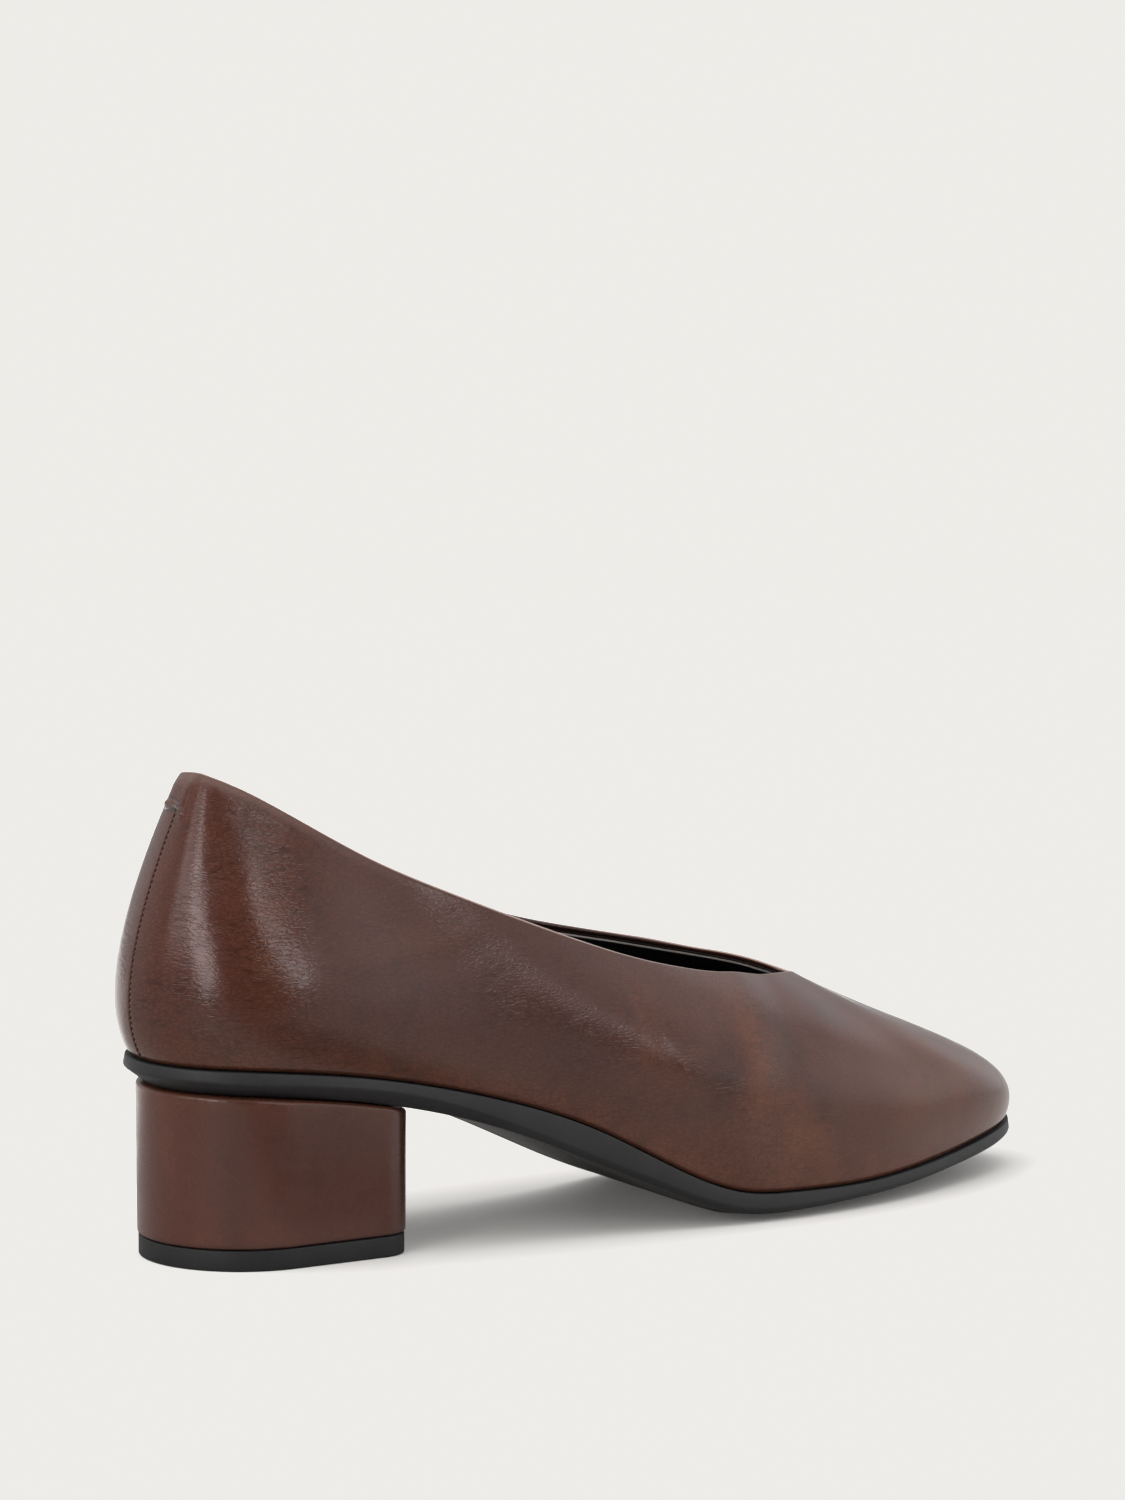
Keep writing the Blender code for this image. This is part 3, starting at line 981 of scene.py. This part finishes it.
    def lining(self) -> Surface:
        """Lining inside the leather, from the foot up to the facing, with a pale cut edge at its top.

        Returns:
            The closed shell.
        """
        at = self.last.stations(self.between)
        probe = self.last.wall(at, np.linspace(0, 1, self.probe_rows))
        height = self.last.climb(probe)[:, -1]
        top = 1 - self.facing / height
        shares = np.linspace(0, 1, self.lining_rows)[None, :] * top[:, None]
        skin = self.last.wall(at, shares)
        normals = self.last.normals(skin, at)
        outer = np.moveaxis(skin - (LEATHER + self.lining_gap) * normals, 1, 0)
        inner = np.moveaxis(skin - WALL * normals, 1, 0)
        crown = (outer[-1] + inner[-1]) / 2 + self.lining_crown * unit(skin[:, -1] - skin[:, -2])
        loops = [crown] + list(outer[::-1]) + list(inner)
        edge = [np.ones(len(at))] + [np.zeros(len(at))] * (len(loops) - 1)
        return Surface.from_loops(loops, ring=True, fields={"edge": edge})

    def stitches(self) -> Surface:
        """Row of stitches along the back seam: each a flattened bead, long along the seam.

        A bead is a grid of turns round its long axis by steps along it, its radius a half circle's.

        Returns:
            All beads joined.
        """
        column = self.last.wall(np.array([self.stitch_place]), np.linspace(0, 1, self.seam_rows))[0]
        run = self.last.climb(column[None])[0]
        last_place = run[-1] - self.tab_height - self.stitch_short
        places = np.arange(self.stitch_from, last_place, self.stitch_pitch)
        slopes = np.gradient(column, run, axis=0)
        middle, slope = (
            np.stack([np.interp(places, run, values[:, axis]) for axis in range(3)], axis=1)
            for values in (column, slopes)
        )
        along, side = unit(slope), np.array([0.0, 1.0, 0.0])
        out = unit(np.cross(side, along))
        middle = middle - self.stitch_sink * out
        around, steps = self.stitch_turns, self.stitch_steps
        turn = np.arange(around) * 2 * np.pi / around
        run_along = np.linspace(-1, 1, steps)
        radius = np.sqrt(np.clip(1 - self.stitch_blunt * run_along**2, 0, 1))
        grid_out = (radius[:, None] * np.cos(turn)).ravel() * self.stitch_height
        grid_side = (radius[:, None] * np.sin(turn)).ravel() * self.stitch_width / 2
        grid_along = np.repeat(run_along, around) * self.stitch_length / 2
        beads = (
            middle[:, None]
            + grid_along[None, :, None] * along[:, None]
            + grid_side[None, :, None] * side
            + grid_out[None, :, None] * out[:, None]
        )
        here = np.arange(around)
        one = [[a, d, c, b] for a, b, c, d in bridge(steps, around)]
        one += [here[::-1].tolist(), (here + around * (steps - 1)).tolist()]
        shift = around * steps
        faces = [[point + shift * bead for point in face] for bead in range(len(middle)) for face in one]
        return Surface(beads.reshape(-1, 3), faces)

    def build(self) -> None:
        """Make the upper's pieces and dress them."""
        upper = self.leather().piece("upper_shell", self.leather_finish.material(), Slot.UPPER)
        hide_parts("upper")
        self.lining().piece("lining", self.lining_finish.material(), Slot.SOCK)
        self.stitches().piece("back_seam_stitches", self.thread_finish.material(), Slot.UPPER)


@dataclass
class Sock:
    """Insole with its sock: a thin slab inside the upper, dished under the foot."""

    last: Last
    between: int = 6
    thick: float = 2.2
    play: float = 0.3
    rounding: float = 0.8
    dish: float = 0.7
    rings: Numbers = (2.0, 4.0, 7.0, 11.0, 15.0)
    turn_points: int = 5
    finish: Matt = Matt(
        "sock_leather",
        tone=(0.0075, 0.006, 0.0055),
        bloom=(0.012, 0.009, 0.008),
        roughness=0.5,
        specular=0.35,
        tooth_scale=1100,
        tooth=0.25,
    )

    def surface(self) -> Surface:
        """Slab with a quarter round edge, its top going down towards the middle line.

        Returns:
            The closed slab.
        """
        at = self.last.stations(self.between)
        out = self.last.outward(self.last.foot, at)
        edge = self.last.curve(self.last.foot, at) - (WALL + self.play) * out
        turns = np.linspace(0, np.pi / 2, self.turn_points)
        top = edge + self.thick * UP
        sides = [top - self.rounding * ((1 - np.sin(turn)) * UP + (1 - np.cos(turn)) * out) for turn in turns]
        lip = sides[-1]
        inner = [inset(lip, ring) - self.dish * ease(ring, 0.0, self.rings[-1]) * UP for ring in self.rings]
        return Surface.from_loops(inner[::-1] + sides[::-1] + [edge], ring=False)

    def build(self) -> None:
        """Make the sock and dress it."""
        made = self.surface().piece("sock", self.finish.material(), Slot.SOCK)
        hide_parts("insole")


def inset(loop: Array, distance: float, heel: float = 26.0, toe: float = 214.0) -> Array:
    """Loop drawn in: each point moves level towards the middle line's nearest place between heel and toe."""
    spine = np.column_stack([np.clip(loop[:, 0], heel, toe), np.zeros(len(loop)), loop[:, 2]])
    return loop + distance * unit(spine - loop)


def rounded(corners: list[Array], radius: tuple[float, ...], points: int = 4) -> list[Array]:
    """Loops through corner loops with each inner corner rounded by a parabola.

    Args:
        corners: loops at the profile's corners, in order.
        radius: length taken off the two edges at each inner corner.
        points: loops on each rounding.

    Returns:
        Loops from the first corner to the last.
    """
    loops = [corners[0]]
    share = np.linspace(0, 1, points)
    for before, corner, after, size in zip(corners, corners[1:], corners[2:], radius):
        start = corner + size * unit(before - corner)
        end = corner + size * unit(after - corner)
        loops += [(1 - s) ** 2 * start + 2 * s * (1 - s) * corner + s * s * end for s in share]
    return loops + [corners[-1]]


@dataclass
class Outsole:
    """Rubber sole: upright band, bevel, and a base with a fine border groove.

    The radii round the profile's inner corners in order. The loops from the given number on lie underneath,
    in a paler tone.
    """

    last: Last
    between: int = 10
    ease_depth: float = 1.2
    top_in: float = 3.0
    groove_in: float = 4.5
    groove_width: float = 1.0
    groove_depth: float = 0.45
    groove_slope: float = 0.2
    base_in: float = 8.0
    radii: Numbers = (0.35, 0.45, 0.5, 0.8, 0.08, 0.08, 0.08)
    paler_from: int = 12
    sharp: float = 30.0
    finish: Matt = Matt(
        "sole_rubber",
        tone=(0.0105, 0.0105, 0.0115),
        bloom=(0.015, 0.015, 0.0165),
        roughness=0.52,
        specular=0.36,
        tooth_scale=1400,
        tooth=0.18,
        edge=(0.042, 0.036, 0.033),
    )

    def on_floor(self, height: Array) -> Array:
        """Heights kept from going under the floor, with a round turn into the flat tread."""
        turn = np.clip(height + self.ease_depth, 0, None) ** 2 / (4 * self.ease_depth)
        return np.where(height < self.ease_depth, turn, height)

    def surface(self) -> Surface:
        """Profile of the edge carried round the feather line, with the groove in the base.

        Returns:
            The closed sole.
        """
        at = self.last.stations(self.between)
        out = self.last.outward(self.last.foot, at)
        values = self.last.curve(self.last.edge, at).T[:, :, None]
        band, lean, bevel_in, bevel_drop, base_in, base_drop = values
        top = self.last.curve(self.last.foot, at) + LEDGE * out - SEAT * UP
        band_foot = top + lean * out - band * UP
        bevel_foot = band_foot - bevel_in * out - bevel_drop * UP
        base = bevel_foot - base_in * out - base_drop * UP
        base[:, 2] = self.on_floor(base[:, 2])
        near, far = self.groove_in, self.groove_in + self.groove_width
        groove = [
            inset(base, near),
            inset(base, near + self.groove_slope) + self.groove_depth * UP,
            inset(base, far - self.groove_slope) + self.groove_depth * UP,
            inset(base, far),
        ]
        corners = [top - self.top_in * out, top, band_foot, bevel_foot, base] + groove
        loops = rounded(corners, self.radii) + [inset(base, self.base_in)]
        under = [np.full(len(at), float(number >= self.paler_from)) for number in range(len(loops))]
        return Surface.from_loops(loops, ring=False, fields={"edge": under})

    def build(self) -> None:
        """Make the sole and dress it."""
        made = self.surface().piece("sole", self.finish.material(), Slot.SOLE, self.sharp)
        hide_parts("outsole")


@dataclass
class HeelBlock:
    """Leather-covered block under the heel seat, with a D shaped plan."""

    last: Last
    back: float = 1.9
    front: float = 60.7
    half: float = 25.2
    corner: float = 9.0
    taper: float = 0.2
    rounding: float = 1.0
    columns: int = 320
    rows: int = 46
    turn_points: int = 6
    plan_points: int = 90
    seat_points: int = 400

    # Foot of the side, and loops of the small bevel under it as inset beyond the taper and height
    foot_rise: float = 0.4
    foot_bevel: tuple[Pair, ...] = ((0.05, 0.3), (0.35, 0.0))

    # Gathers: middles and half widths of the stretches, pitch, strength and start of the two waves
    gathers: tuple[Pair, ...] = ((9.0, 3.0), (26.0, 6.0))
    gather_waves: tuple[Triple, ...] = ((2.3, 1.0, 0.0), (1.45, 0.6, 1.0))
    gather_height: float = 0.05
    gather_drop: float = 1.2
    gather_half: float = 1.1

    # Tones, as share and reach or zone; the stripes and the front corners are painted shade
    foot_warm: Pair = (0.1, 5.0)
    top_warm: Pair = (0.3, 4.0)
    foot_line: Pair = (0.5, 0.5)
    stripe: float = 12.6
    stripe_half: float = 3.5
    stripe_shade: float = 0.2
    corner_zone: Pair = (53.5, 57.5)
    corner_shade: float = 0.25
    grain: float = 0.4
    finish: BurnishedLeather = BurnishedLeather(
        "heel_leather", roughness=0.26, coat=0.28, grain=0.25, speckle=0.2, groove=0.2
    )

    def plan(self, shrink: float | Array) -> Array:
        """Half round back, straight sides and rounded front corners, at even steps round the loop.

        Args:
            shrink: how far the loop, or each of its points, lies inside the block's largest plan.

        Returns:
            Plan points, counterclockwise from the back.
        """
        turn = np.linspace(0, np.pi / 2, self.plan_points)
        rear = np.stack([self.back + self.half * (1 - np.cos(turn)), -self.half * np.sin(turn)], axis=1)
        nose_x = self.front - self.corner + self.corner * np.sin(turn)
        nose = np.stack([nose_x, self.corner - self.half - self.corner * np.cos(turn)], axis=1)
        outer = np.concatenate([rear, nose])
        loop = np.concatenate([outer, outer[::-1] * (1, -1)])
        loop = loop[np.append(True, np.linalg.norm(np.diff(loop, axis=0), axis=1) > TINY)]
        run = np.append(0, np.cumsum(np.linalg.norm(np.diff(loop, axis=0), axis=1)))
        even = np.arange(self.columns) * run[-1] / self.columns
        points = np.stack([np.interp(even, run, loop[:, axis]) for axis in (0, 1)], axis=1)
        along = np.roll(points, -1, axis=0) - np.roll(points, 1, axis=0)
        return points - shrink * unit(np.stack([along[:, 1], -along[:, 0]], axis=1))

    def seat(self, x: Array) -> Array:
        """Height of the block's top under the sole.

        Args:
            x: places along the shoe.

        Returns:
            One height for each place.
        """
        line = self.last.curve(self.last.foot, np.linspace(0, self.last.around / 2, self.seat_points))
        depth = EDGE["band"][0] + EDGE["bevel_drop"][0]
        return np.interp(x, line[:, 0], line[:, 2]) - 2 * SEAT - depth

    def pinch(self, plan: Array, from_top: Array) -> Array:
        """Gathers of the cover at its turned top edge: short upright ridges on two given stretches.

        Args:
            plan: plan points.
            from_top: distance below the top edge.

        Returns:
            Height of the ridges at each point.
        """
        run = np.cumsum(np.linalg.norm(plan - np.roll(plan, 1, axis=0), axis=1))
        stretch = sum(bell(plan[:, 0] - middle, half) for middle, half in self.gathers)
        turns = 2 * np.pi * run
        ridges = sum(size * np.sin(turns / pitch + start) for pitch, size, start in self.gather_waves)
        return self.gather_height * stretch * ridges * bell(from_top - self.gather_drop, self.gather_half)

    def shade(self, x: Array) -> Array:
        """Share of painted shade: a soft upright stripe on each round of the back, and the front corners."""
        stripes = self.stripe_shade * bell(x - self.stripe, self.stripe_half)
        return stripes + self.corner_shade * ease(x, *self.corner_zone)

    def surface(self) -> Surface:
        """Plan carried down the block, with rounded top and bottom edges.

        Returns:
            The closed block.
        """
        widest = self.plan(0)
        top = self.seat(widest[:, 0])
        foot = TopLift.thick + SEAT
        turns = np.linspace(0, np.pi / 2, self.turn_points)
        size = self.rounding
        rows = [(size * (1 - np.sin(turn)), size * (1 - np.cos(turn)), 0.0) for turn in turns]
        rows += [(self.taper * share, size, share) for share in np.linspace(0, 1, self.rows)[1:-1]]
        loops = []
        for shrink, drop, share in rows:
            side = top - drop
            height = side + share * (foot + self.foot_rise - side)
            plan = self.plan(shrink - self.pinch(widest, top - height)[:, None])
            loops.append(np.column_stack([plan, height]))
        for shrink, rise in self.foot_bevel:
            height = np.full(self.columns, foot + rise)
            loops.append(np.column_stack([self.plan(self.taper + shrink), height]))
        return Surface.from_loops(loops, ring=False, fields=self.tones(widest, top, foot, loops))

    def tones(self, widest: Array, top: Array, foot: float, loops: list[Array]) -> dict[str, list[Array]]:
        """Shares of warm tone, dark line with painted shade, and grain.

        Args:
            widest: the block's largest plan.
            top: height of the top edge at each point of the plan.
            foot: height of the lower edge.
            loops: loops of the block.

        Returns:
            Numbers at each point of each loop, by name.
        """
        from_foot = [loop[:, 2] - foot for loop in loops]
        from_top = [top - loop[:, 2] for loop in loops]
        foot_warm, foot_reach = self.foot_warm
        top_warm, top_reach = self.top_warm
        dark, dark_reach = self.foot_line
        shade = self.shade(widest[:, 0])
        return {
            "warm": [
                foot_warm * bell(low, foot_reach) + top_warm * bell(high, top_reach)
                for low, high in zip(from_foot, from_top)
            ],
            "line": [dark * bell(low, dark_reach) + shade for low in from_foot],
            "grain": [np.full(self.columns, self.grain)] * len(loops),
        }

    def build(self) -> None:
        """Make the block and dress it."""
        made = self.surface().piece("heel_block", self.finish.material(), Slot.HEEL)
        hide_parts("heel")


@dataclass
class TopLift:
    """Rubber lift under the heel block."""

    heel: HeelBlock
    thick: float = 5.0
    inset: float = 0.3
    rounding: float = 0.4
    turn_points: int = 5
    finish: Matt = Matt(
        "lift_rubber",
        tone=(0.008, 0.008, 0.0085),
        bloom=(0.012, 0.012, 0.0125),
        roughness=0.56,
        specular=0.34,
        tooth_scale=1300,
        tooth=0.2,
    )

    def surface(self) -> Surface:
        """Flat plate with rounded edges.

        Returns:
            The closed plate.
        """
        edge = self.heel.taper + self.inset
        size = self.rounding
        turns = np.linspace(0, np.pi / 2, self.turn_points)
        top = [(size * (1 - np.sin(turn)), self.thick - size * (1 - np.cos(turn))) for turn in turns]
        foot = [(shrink, self.thick - height) for shrink, height in top[::-1]]
        loops = [
            np.column_stack([self.heel.plan(edge + shrink), np.full(self.heel.columns, height)])
            for shrink, height in top + foot
        ]
        return Surface.from_loops(loops, ring=False)

    def build(self) -> None:
        """Make the lift and dress it."""
        made = self.surface().piece("lift", self.finish.material(), Slot.LIFT)
        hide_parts("top_lift")


@dataclass(frozen=True)
class SoftBox:
    """A lit panel far away: its middle, half sizes, slant, soft edge and brightness beyond the room's."""

    azimuth: float
    elevation: float
    half_wide: float
    half_high: float
    slant: float
    edge: float
    glow: float


@dataclass(frozen=True)
class Bank:
    """Broad soft lamp aimed at the shoe: direction in degrees, distance and size in millimetres, watts."""

    azimuth: float
    elevation: float
    distance: float
    wide: float
    high: float
    power: float

    def build(self) -> None:
        """Make the lamp, which lights surfaces but is not mirrored in them."""
        lamp = bpy.data.lights.new("soft_bank", "AREA")
        lamp.shape = "RECTANGLE"
        lamp.size, lamp.size_y = self.wide / METRE, self.high / METRE
        lamp.energy = self.power
        made = bpy.data.objects.new("soft_bank", lamp)
        made.location = heading(self.azimuth, self.elevation) * self.distance / METRE
        made.rotation_euler = (math.pi / 2 - math.radians(self.elevation), 0.0, math.radians(self.azimuth))
        made.visible_glossy = False
        bpy.context.scene.collection.objects.link(made)


@dataclass
class Studio:
    """White room and floor, with the camera of the photograph.

    The room has a bright ceiling, two slanted strip lights, broad side panels and a dark panel between
    them. The floor throws back more or less light by direction. Three soft lamps add to the light.
    """

    horizon: float = 0.42
    ceiling: float = 2.2
    ceiling_from: Pair = (25.0, 75.0)
    white: Colour = (0.855, 0.839, 0.807)
    floor_tone: Colour = (0.655, 0.643, 0.625)
    floor_bounce: float = 0.635
    floor_glow: float = 0.05
    floor_radius: float = 1600.0
    floor_rings: int = 24
    floor_sides: int = 64
    floor_fade: Pair = (500.0, 1200.0)
    floor_noise: Numbers = (30.0, 3)
    floor_dim: float = 0.995
    floor_roughness: float = 0.9
    boxes: tuple[SoftBox, ...] = (
        SoftBox(-62.5, 19, 8, 16, 37, 5, 5.4),
        SoftBox(-88, 23, 16, 9, 0, 8, 2.5),
        SoftBox(8, 22.5, 4, 20, 42, 2.5, 3.8),
        SoftBox(74, 14, 48, 20, 0, 19, 0.85),
        SoftBox(60, 20, 18, 22, 0, 10, 0.3),
        SoftBox(22, 12, 12, 11, 0, 8, 0.3),
        SoftBox(-150, 16, 30, 24, 0, 15, 0.25),
    )
    dark_side: SoftBox = SoftBox(-19, 14, 24, 36, 37, 6, -0.75)
    floor_shades: tuple[SoftBox, ...] = (
        SoftBox(-25, -18, 18, 22, 0, 10, -0.6),
        SoftBox(66, -20, 32, 30, 0, 12, 0.3),
        SoftBox(-172, -12, 24, 14, 0, 8, 0.8),
        SoftBox(20, -14, 18, 24, 0, 8, 0.3),
        SoftBox(-108, -16, 30, 22, 0, 10, -0.3),
    )
    floor_view: float = 60.0
    banks: tuple[Bank, ...] = (
        Bank(-100, 55, 900, 500, 500, 3.1),
        Bank(150, 12, 900, 700, 250, 4.2),
        Bank(-62, 30, 900, 400, 400, 0.8),
    )
    azimuth: float = -32.0
    elevation: float = 10.0
    distance: float = 2000.0
    aim: Triple = (122.0, 0.0, 50.0)
    aim_pixel: Pair = (585.05, 1004.99)
    image: tuple[int, int] = (1125, 1500)
    focal_pixels: float = 8300.0
    sensor: float = 36.0
    clip: Pair = (0.1, 50.0)

    def world(self) -> None:
        """Light from all round by direction: room, ceiling and panels. The camera itself sees plain white."""
        world = bpy.data.worlds.new("studio_room")
        bpy.context.scene.world = world
        world.use_nodes = True
        nodes = Nodes(world.node_tree)
        way = nodes.add("ShaderNodeTexCoord").outputs["Generated"]
        x, y, z = nodes.add("ShaderNodeSeparateXYZ", {0: way}).outputs[:3]
        azimuth = nodes.azimuth(x, y)
        elevation = nodes.math("DIVIDE", nodes.math("ARCSINE", z), DEGREE)
        light = nodes.ramp(elevation, *self.ceiling_from, self.horizon, self.ceiling)
        shade = self.panel(nodes, azimuth, elevation, self.dark_side)
        light = nodes.math("MULTIPLY", light, nodes.math("ADD", shade, 1.0))
        for box in self.boxes:
            light = nodes.math("ADD", light, self.panel(nodes, azimuth, elevation, box))
        seen = nodes.add("ShaderNodeLightPath").outputs["Is Camera Ray"]
        shade = nodes.add("ShaderNodeCombineColor", {0: light, 1: light, 2: light}).outputs[0]
        colour = nodes.mix(seen, shade, self.white)
        nodes.tree.links.new(colour, world.node_tree.nodes["Background"].inputs["Color"])

    def panel(self, nodes: Nodes, azimuth: Socket, elevation: Socket, box: SoftBox) -> Socket:
        """Glow of a panel in a direction, nothing away from it, with soft edges.

        The offsets from its middle are turned by its slant, and a smooth step falls at each half size.

        Args:
            nodes: nodes of the world or the floor.
            azimuth: direction round the shoe.
            elevation: direction above the floor.
            box: the panel.

        Returns:
            The glow socket.
        """
        turn = math.radians(box.slant)
        right = nodes.math("SUBTRACT", azimuth, box.azimuth)
        right = nodes.add("ShaderNodeMath", {0: right, 1: 180.0, 2: -180.0}, operation="WRAP").outputs[0]
        rise = nodes.math("SUBTRACT", elevation, box.elevation)
        parts = []
        for across, up, half in (
            (math.cos(turn), math.sin(turn), box.half_wide),
            (-math.sin(turn), math.cos(turn), box.half_high),
        ):
            off = nodes.math("ADD", nodes.math("MULTIPLY", right, across), nodes.math("MULTIPLY", rise, up))
            parts.append(nodes.ramp(nodes.math("ABSOLUTE", off), half - box.edge, half + box.edge, 1.0, 0.0))
        return nodes.math("MULTIPLY", nodes.math("MULTIPLY", *parts), box.glow)

    def floor(self) -> None:
        """Round floor that fades into the white room, with a faint unevenness."""
        rings = np.linspace(0, 1, self.floor_rings + 1)[1:] ** 2 * self.floor_radius
        here = np.arange(self.floor_sides)
        turn = here * 2 * np.pi / self.floor_sides
        grid = rings[:, None, None] * np.stack([np.cos(turn), np.sin(turn), 0 * turn], axis=1)
        points = np.concatenate([[[0, 0, 0]], grid.reshape(-1, 3)]) / METRE
        fan = np.stack([0 * here, 1 + here, 1 + np.roll(here, -1)], axis=1).tolist()
        mesh = bpy.data.meshes.new("floor")
        mesh.from_pydata(points.tolist(), [], fan + bridge(self.floor_rings, self.floor_sides, first=1))
        mesh.materials.append(self.floor_finish())
        made = bpy.data.objects.new("floor", mesh)
        bpy.context.scene.collection.objects.link(made)
        LOG.info("floor: %d faces", len(mesh.polygons))

    def floor_finish(self) -> bpy.types.Material:
        """Dull white that turns clear towards the floor's rim.

        The camera sees its true tone, with a faint painted glow that lifts its shadows. The light that it
        throws on the shoe is dimmer, and changes by the direction of the place as seen from a point at the
        view height over the middle.

        Returns:
            The finished material.
        """
        made, nodes, shader = new_material("white_floor")
        where = nodes.place()
        grain = nodes.noise(where, *self.floor_noise)
        dim = tuple(self.floor_dim * value for value in self.floor_tone)
        tone = nodes.mix(grain, self.floor_tone, dim)
        seen = nodes.add("ShaderNodeLightPath").outputs["Is Camera Ray"]
        away = nodes.add("ShaderNodeVectorMath", {0: where}, operation="LENGTH").outputs["Value"]
        x, y = nodes.add("ShaderNodeSeparateXYZ", {0: where}).outputs[:2]
        azimuth = nodes.azimuth(x, y)
        below = nodes.math("ARCTAN2", self.floor_view / METRE, away)
        elevation = nodes.math("DIVIDE", below, -DEGREE)
        share: Socket | float = self.floor_bounce
        for box in self.floor_shades:
            change = self.panel(nodes, azimuth, elevation, box)
            share = nodes.math("MULTIPLY", share, nodes.math("ADD", change, 1.0))
        bounce = nodes.mix(share, (0.0, 0.0, 0.0), self.floor_tone)
        # Painted glow: the floor shines faintly for the camera, lightening its shadows
        camera_glow = nodes.math("MULTIPLY", seen, self.floor_glow)
        nodes.tree.links.new(nodes.mix(seen, bounce, tone), shader.inputs["Base Color"])
        nodes.tree.links.new(camera_glow, shader.inputs["Emission Strength"])
        shader.inputs["Emission Color"].default_value = (*self.white, 1.0)
        shader.inputs["Roughness"].default_value = self.floor_roughness
        shader.inputs["Specular IOR Level"].default_value = 0.0
        near, far = (reach / METRE for reach in self.floor_fade)
        nodes.tree.links.new(nodes.ramp(away, near, far, 1.0, 0.0), shader.inputs["Alpha"])
        return made

    def camera(self) -> None:
        """Camera at the photograph's angle, turned so that the aim falls on its pixel, with no roll."""
        aim = Vector(np.array(self.aim) - shoe_origin()) / METRE
        right = self.aim_pixel[0] - self.image[0] / 2
        down = self.aim_pixel[1] - self.image[1] / 2
        pitch = -math.radians(self.elevation) + math.atan(down / self.focal_pixels)
        yaw = -math.radians(self.azimuth) - math.atan(right / (self.focal_pixels * math.cos(pitch)))
        lens = bpy.data.cameras.new("photo_camera")
        lens.sensor_width = self.sensor
        lens.lens = self.focal_pixels * self.sensor / self.image[1]
        lens.clip_start, lens.clip_end = self.clip
        made = bpy.data.objects.new("photo_camera", lens)
        made.location = aim + heading(self.azimuth, self.elevation) * self.distance / METRE
        made.rotation_euler = (math.pi / 2 + pitch, 0.0, -yaw)
        bpy.context.scene.collection.objects.link(made)
        bpy.context.scene.camera = made

    def build(self) -> None:
        """Make the room, floor and camera, with colours shown as they are."""
        self.world()
        self.floor()
        for bank in self.banks:
            bank.build()
        self.camera()
        self.exposure()

    def exposure(self) -> None:
        """Colours shown as they are, up to the paper white at which the photograph's background clips."""
        view = bpy.context.scene.view_settings
        view.view_transform = "Standard"
        view.use_curve_mapping = True
        for curve, limit in zip(view.curve_mapping.curves, self.white):
            curve.points[-1].location = (1.0, limit)
            curve.points.new(limit, limit)
            for point in curve.points:
                point.handle_type = "VECTOR"
        view.curve_mapping.update()


def main() -> None:
    """Build the shoe's pieces, then the studio."""
    logging.basicConfig(level=logging.INFO, format="%(name)s: %(message)s")
    last = Last()
    heel = HeelBlock(last)
    Upper(last).build()
    Sock(last).build()
    Outsole(last).build()
    heel.build()
    TopLift(heel).build()
    Studio().build()


if __name__ == "__main__":
    main()
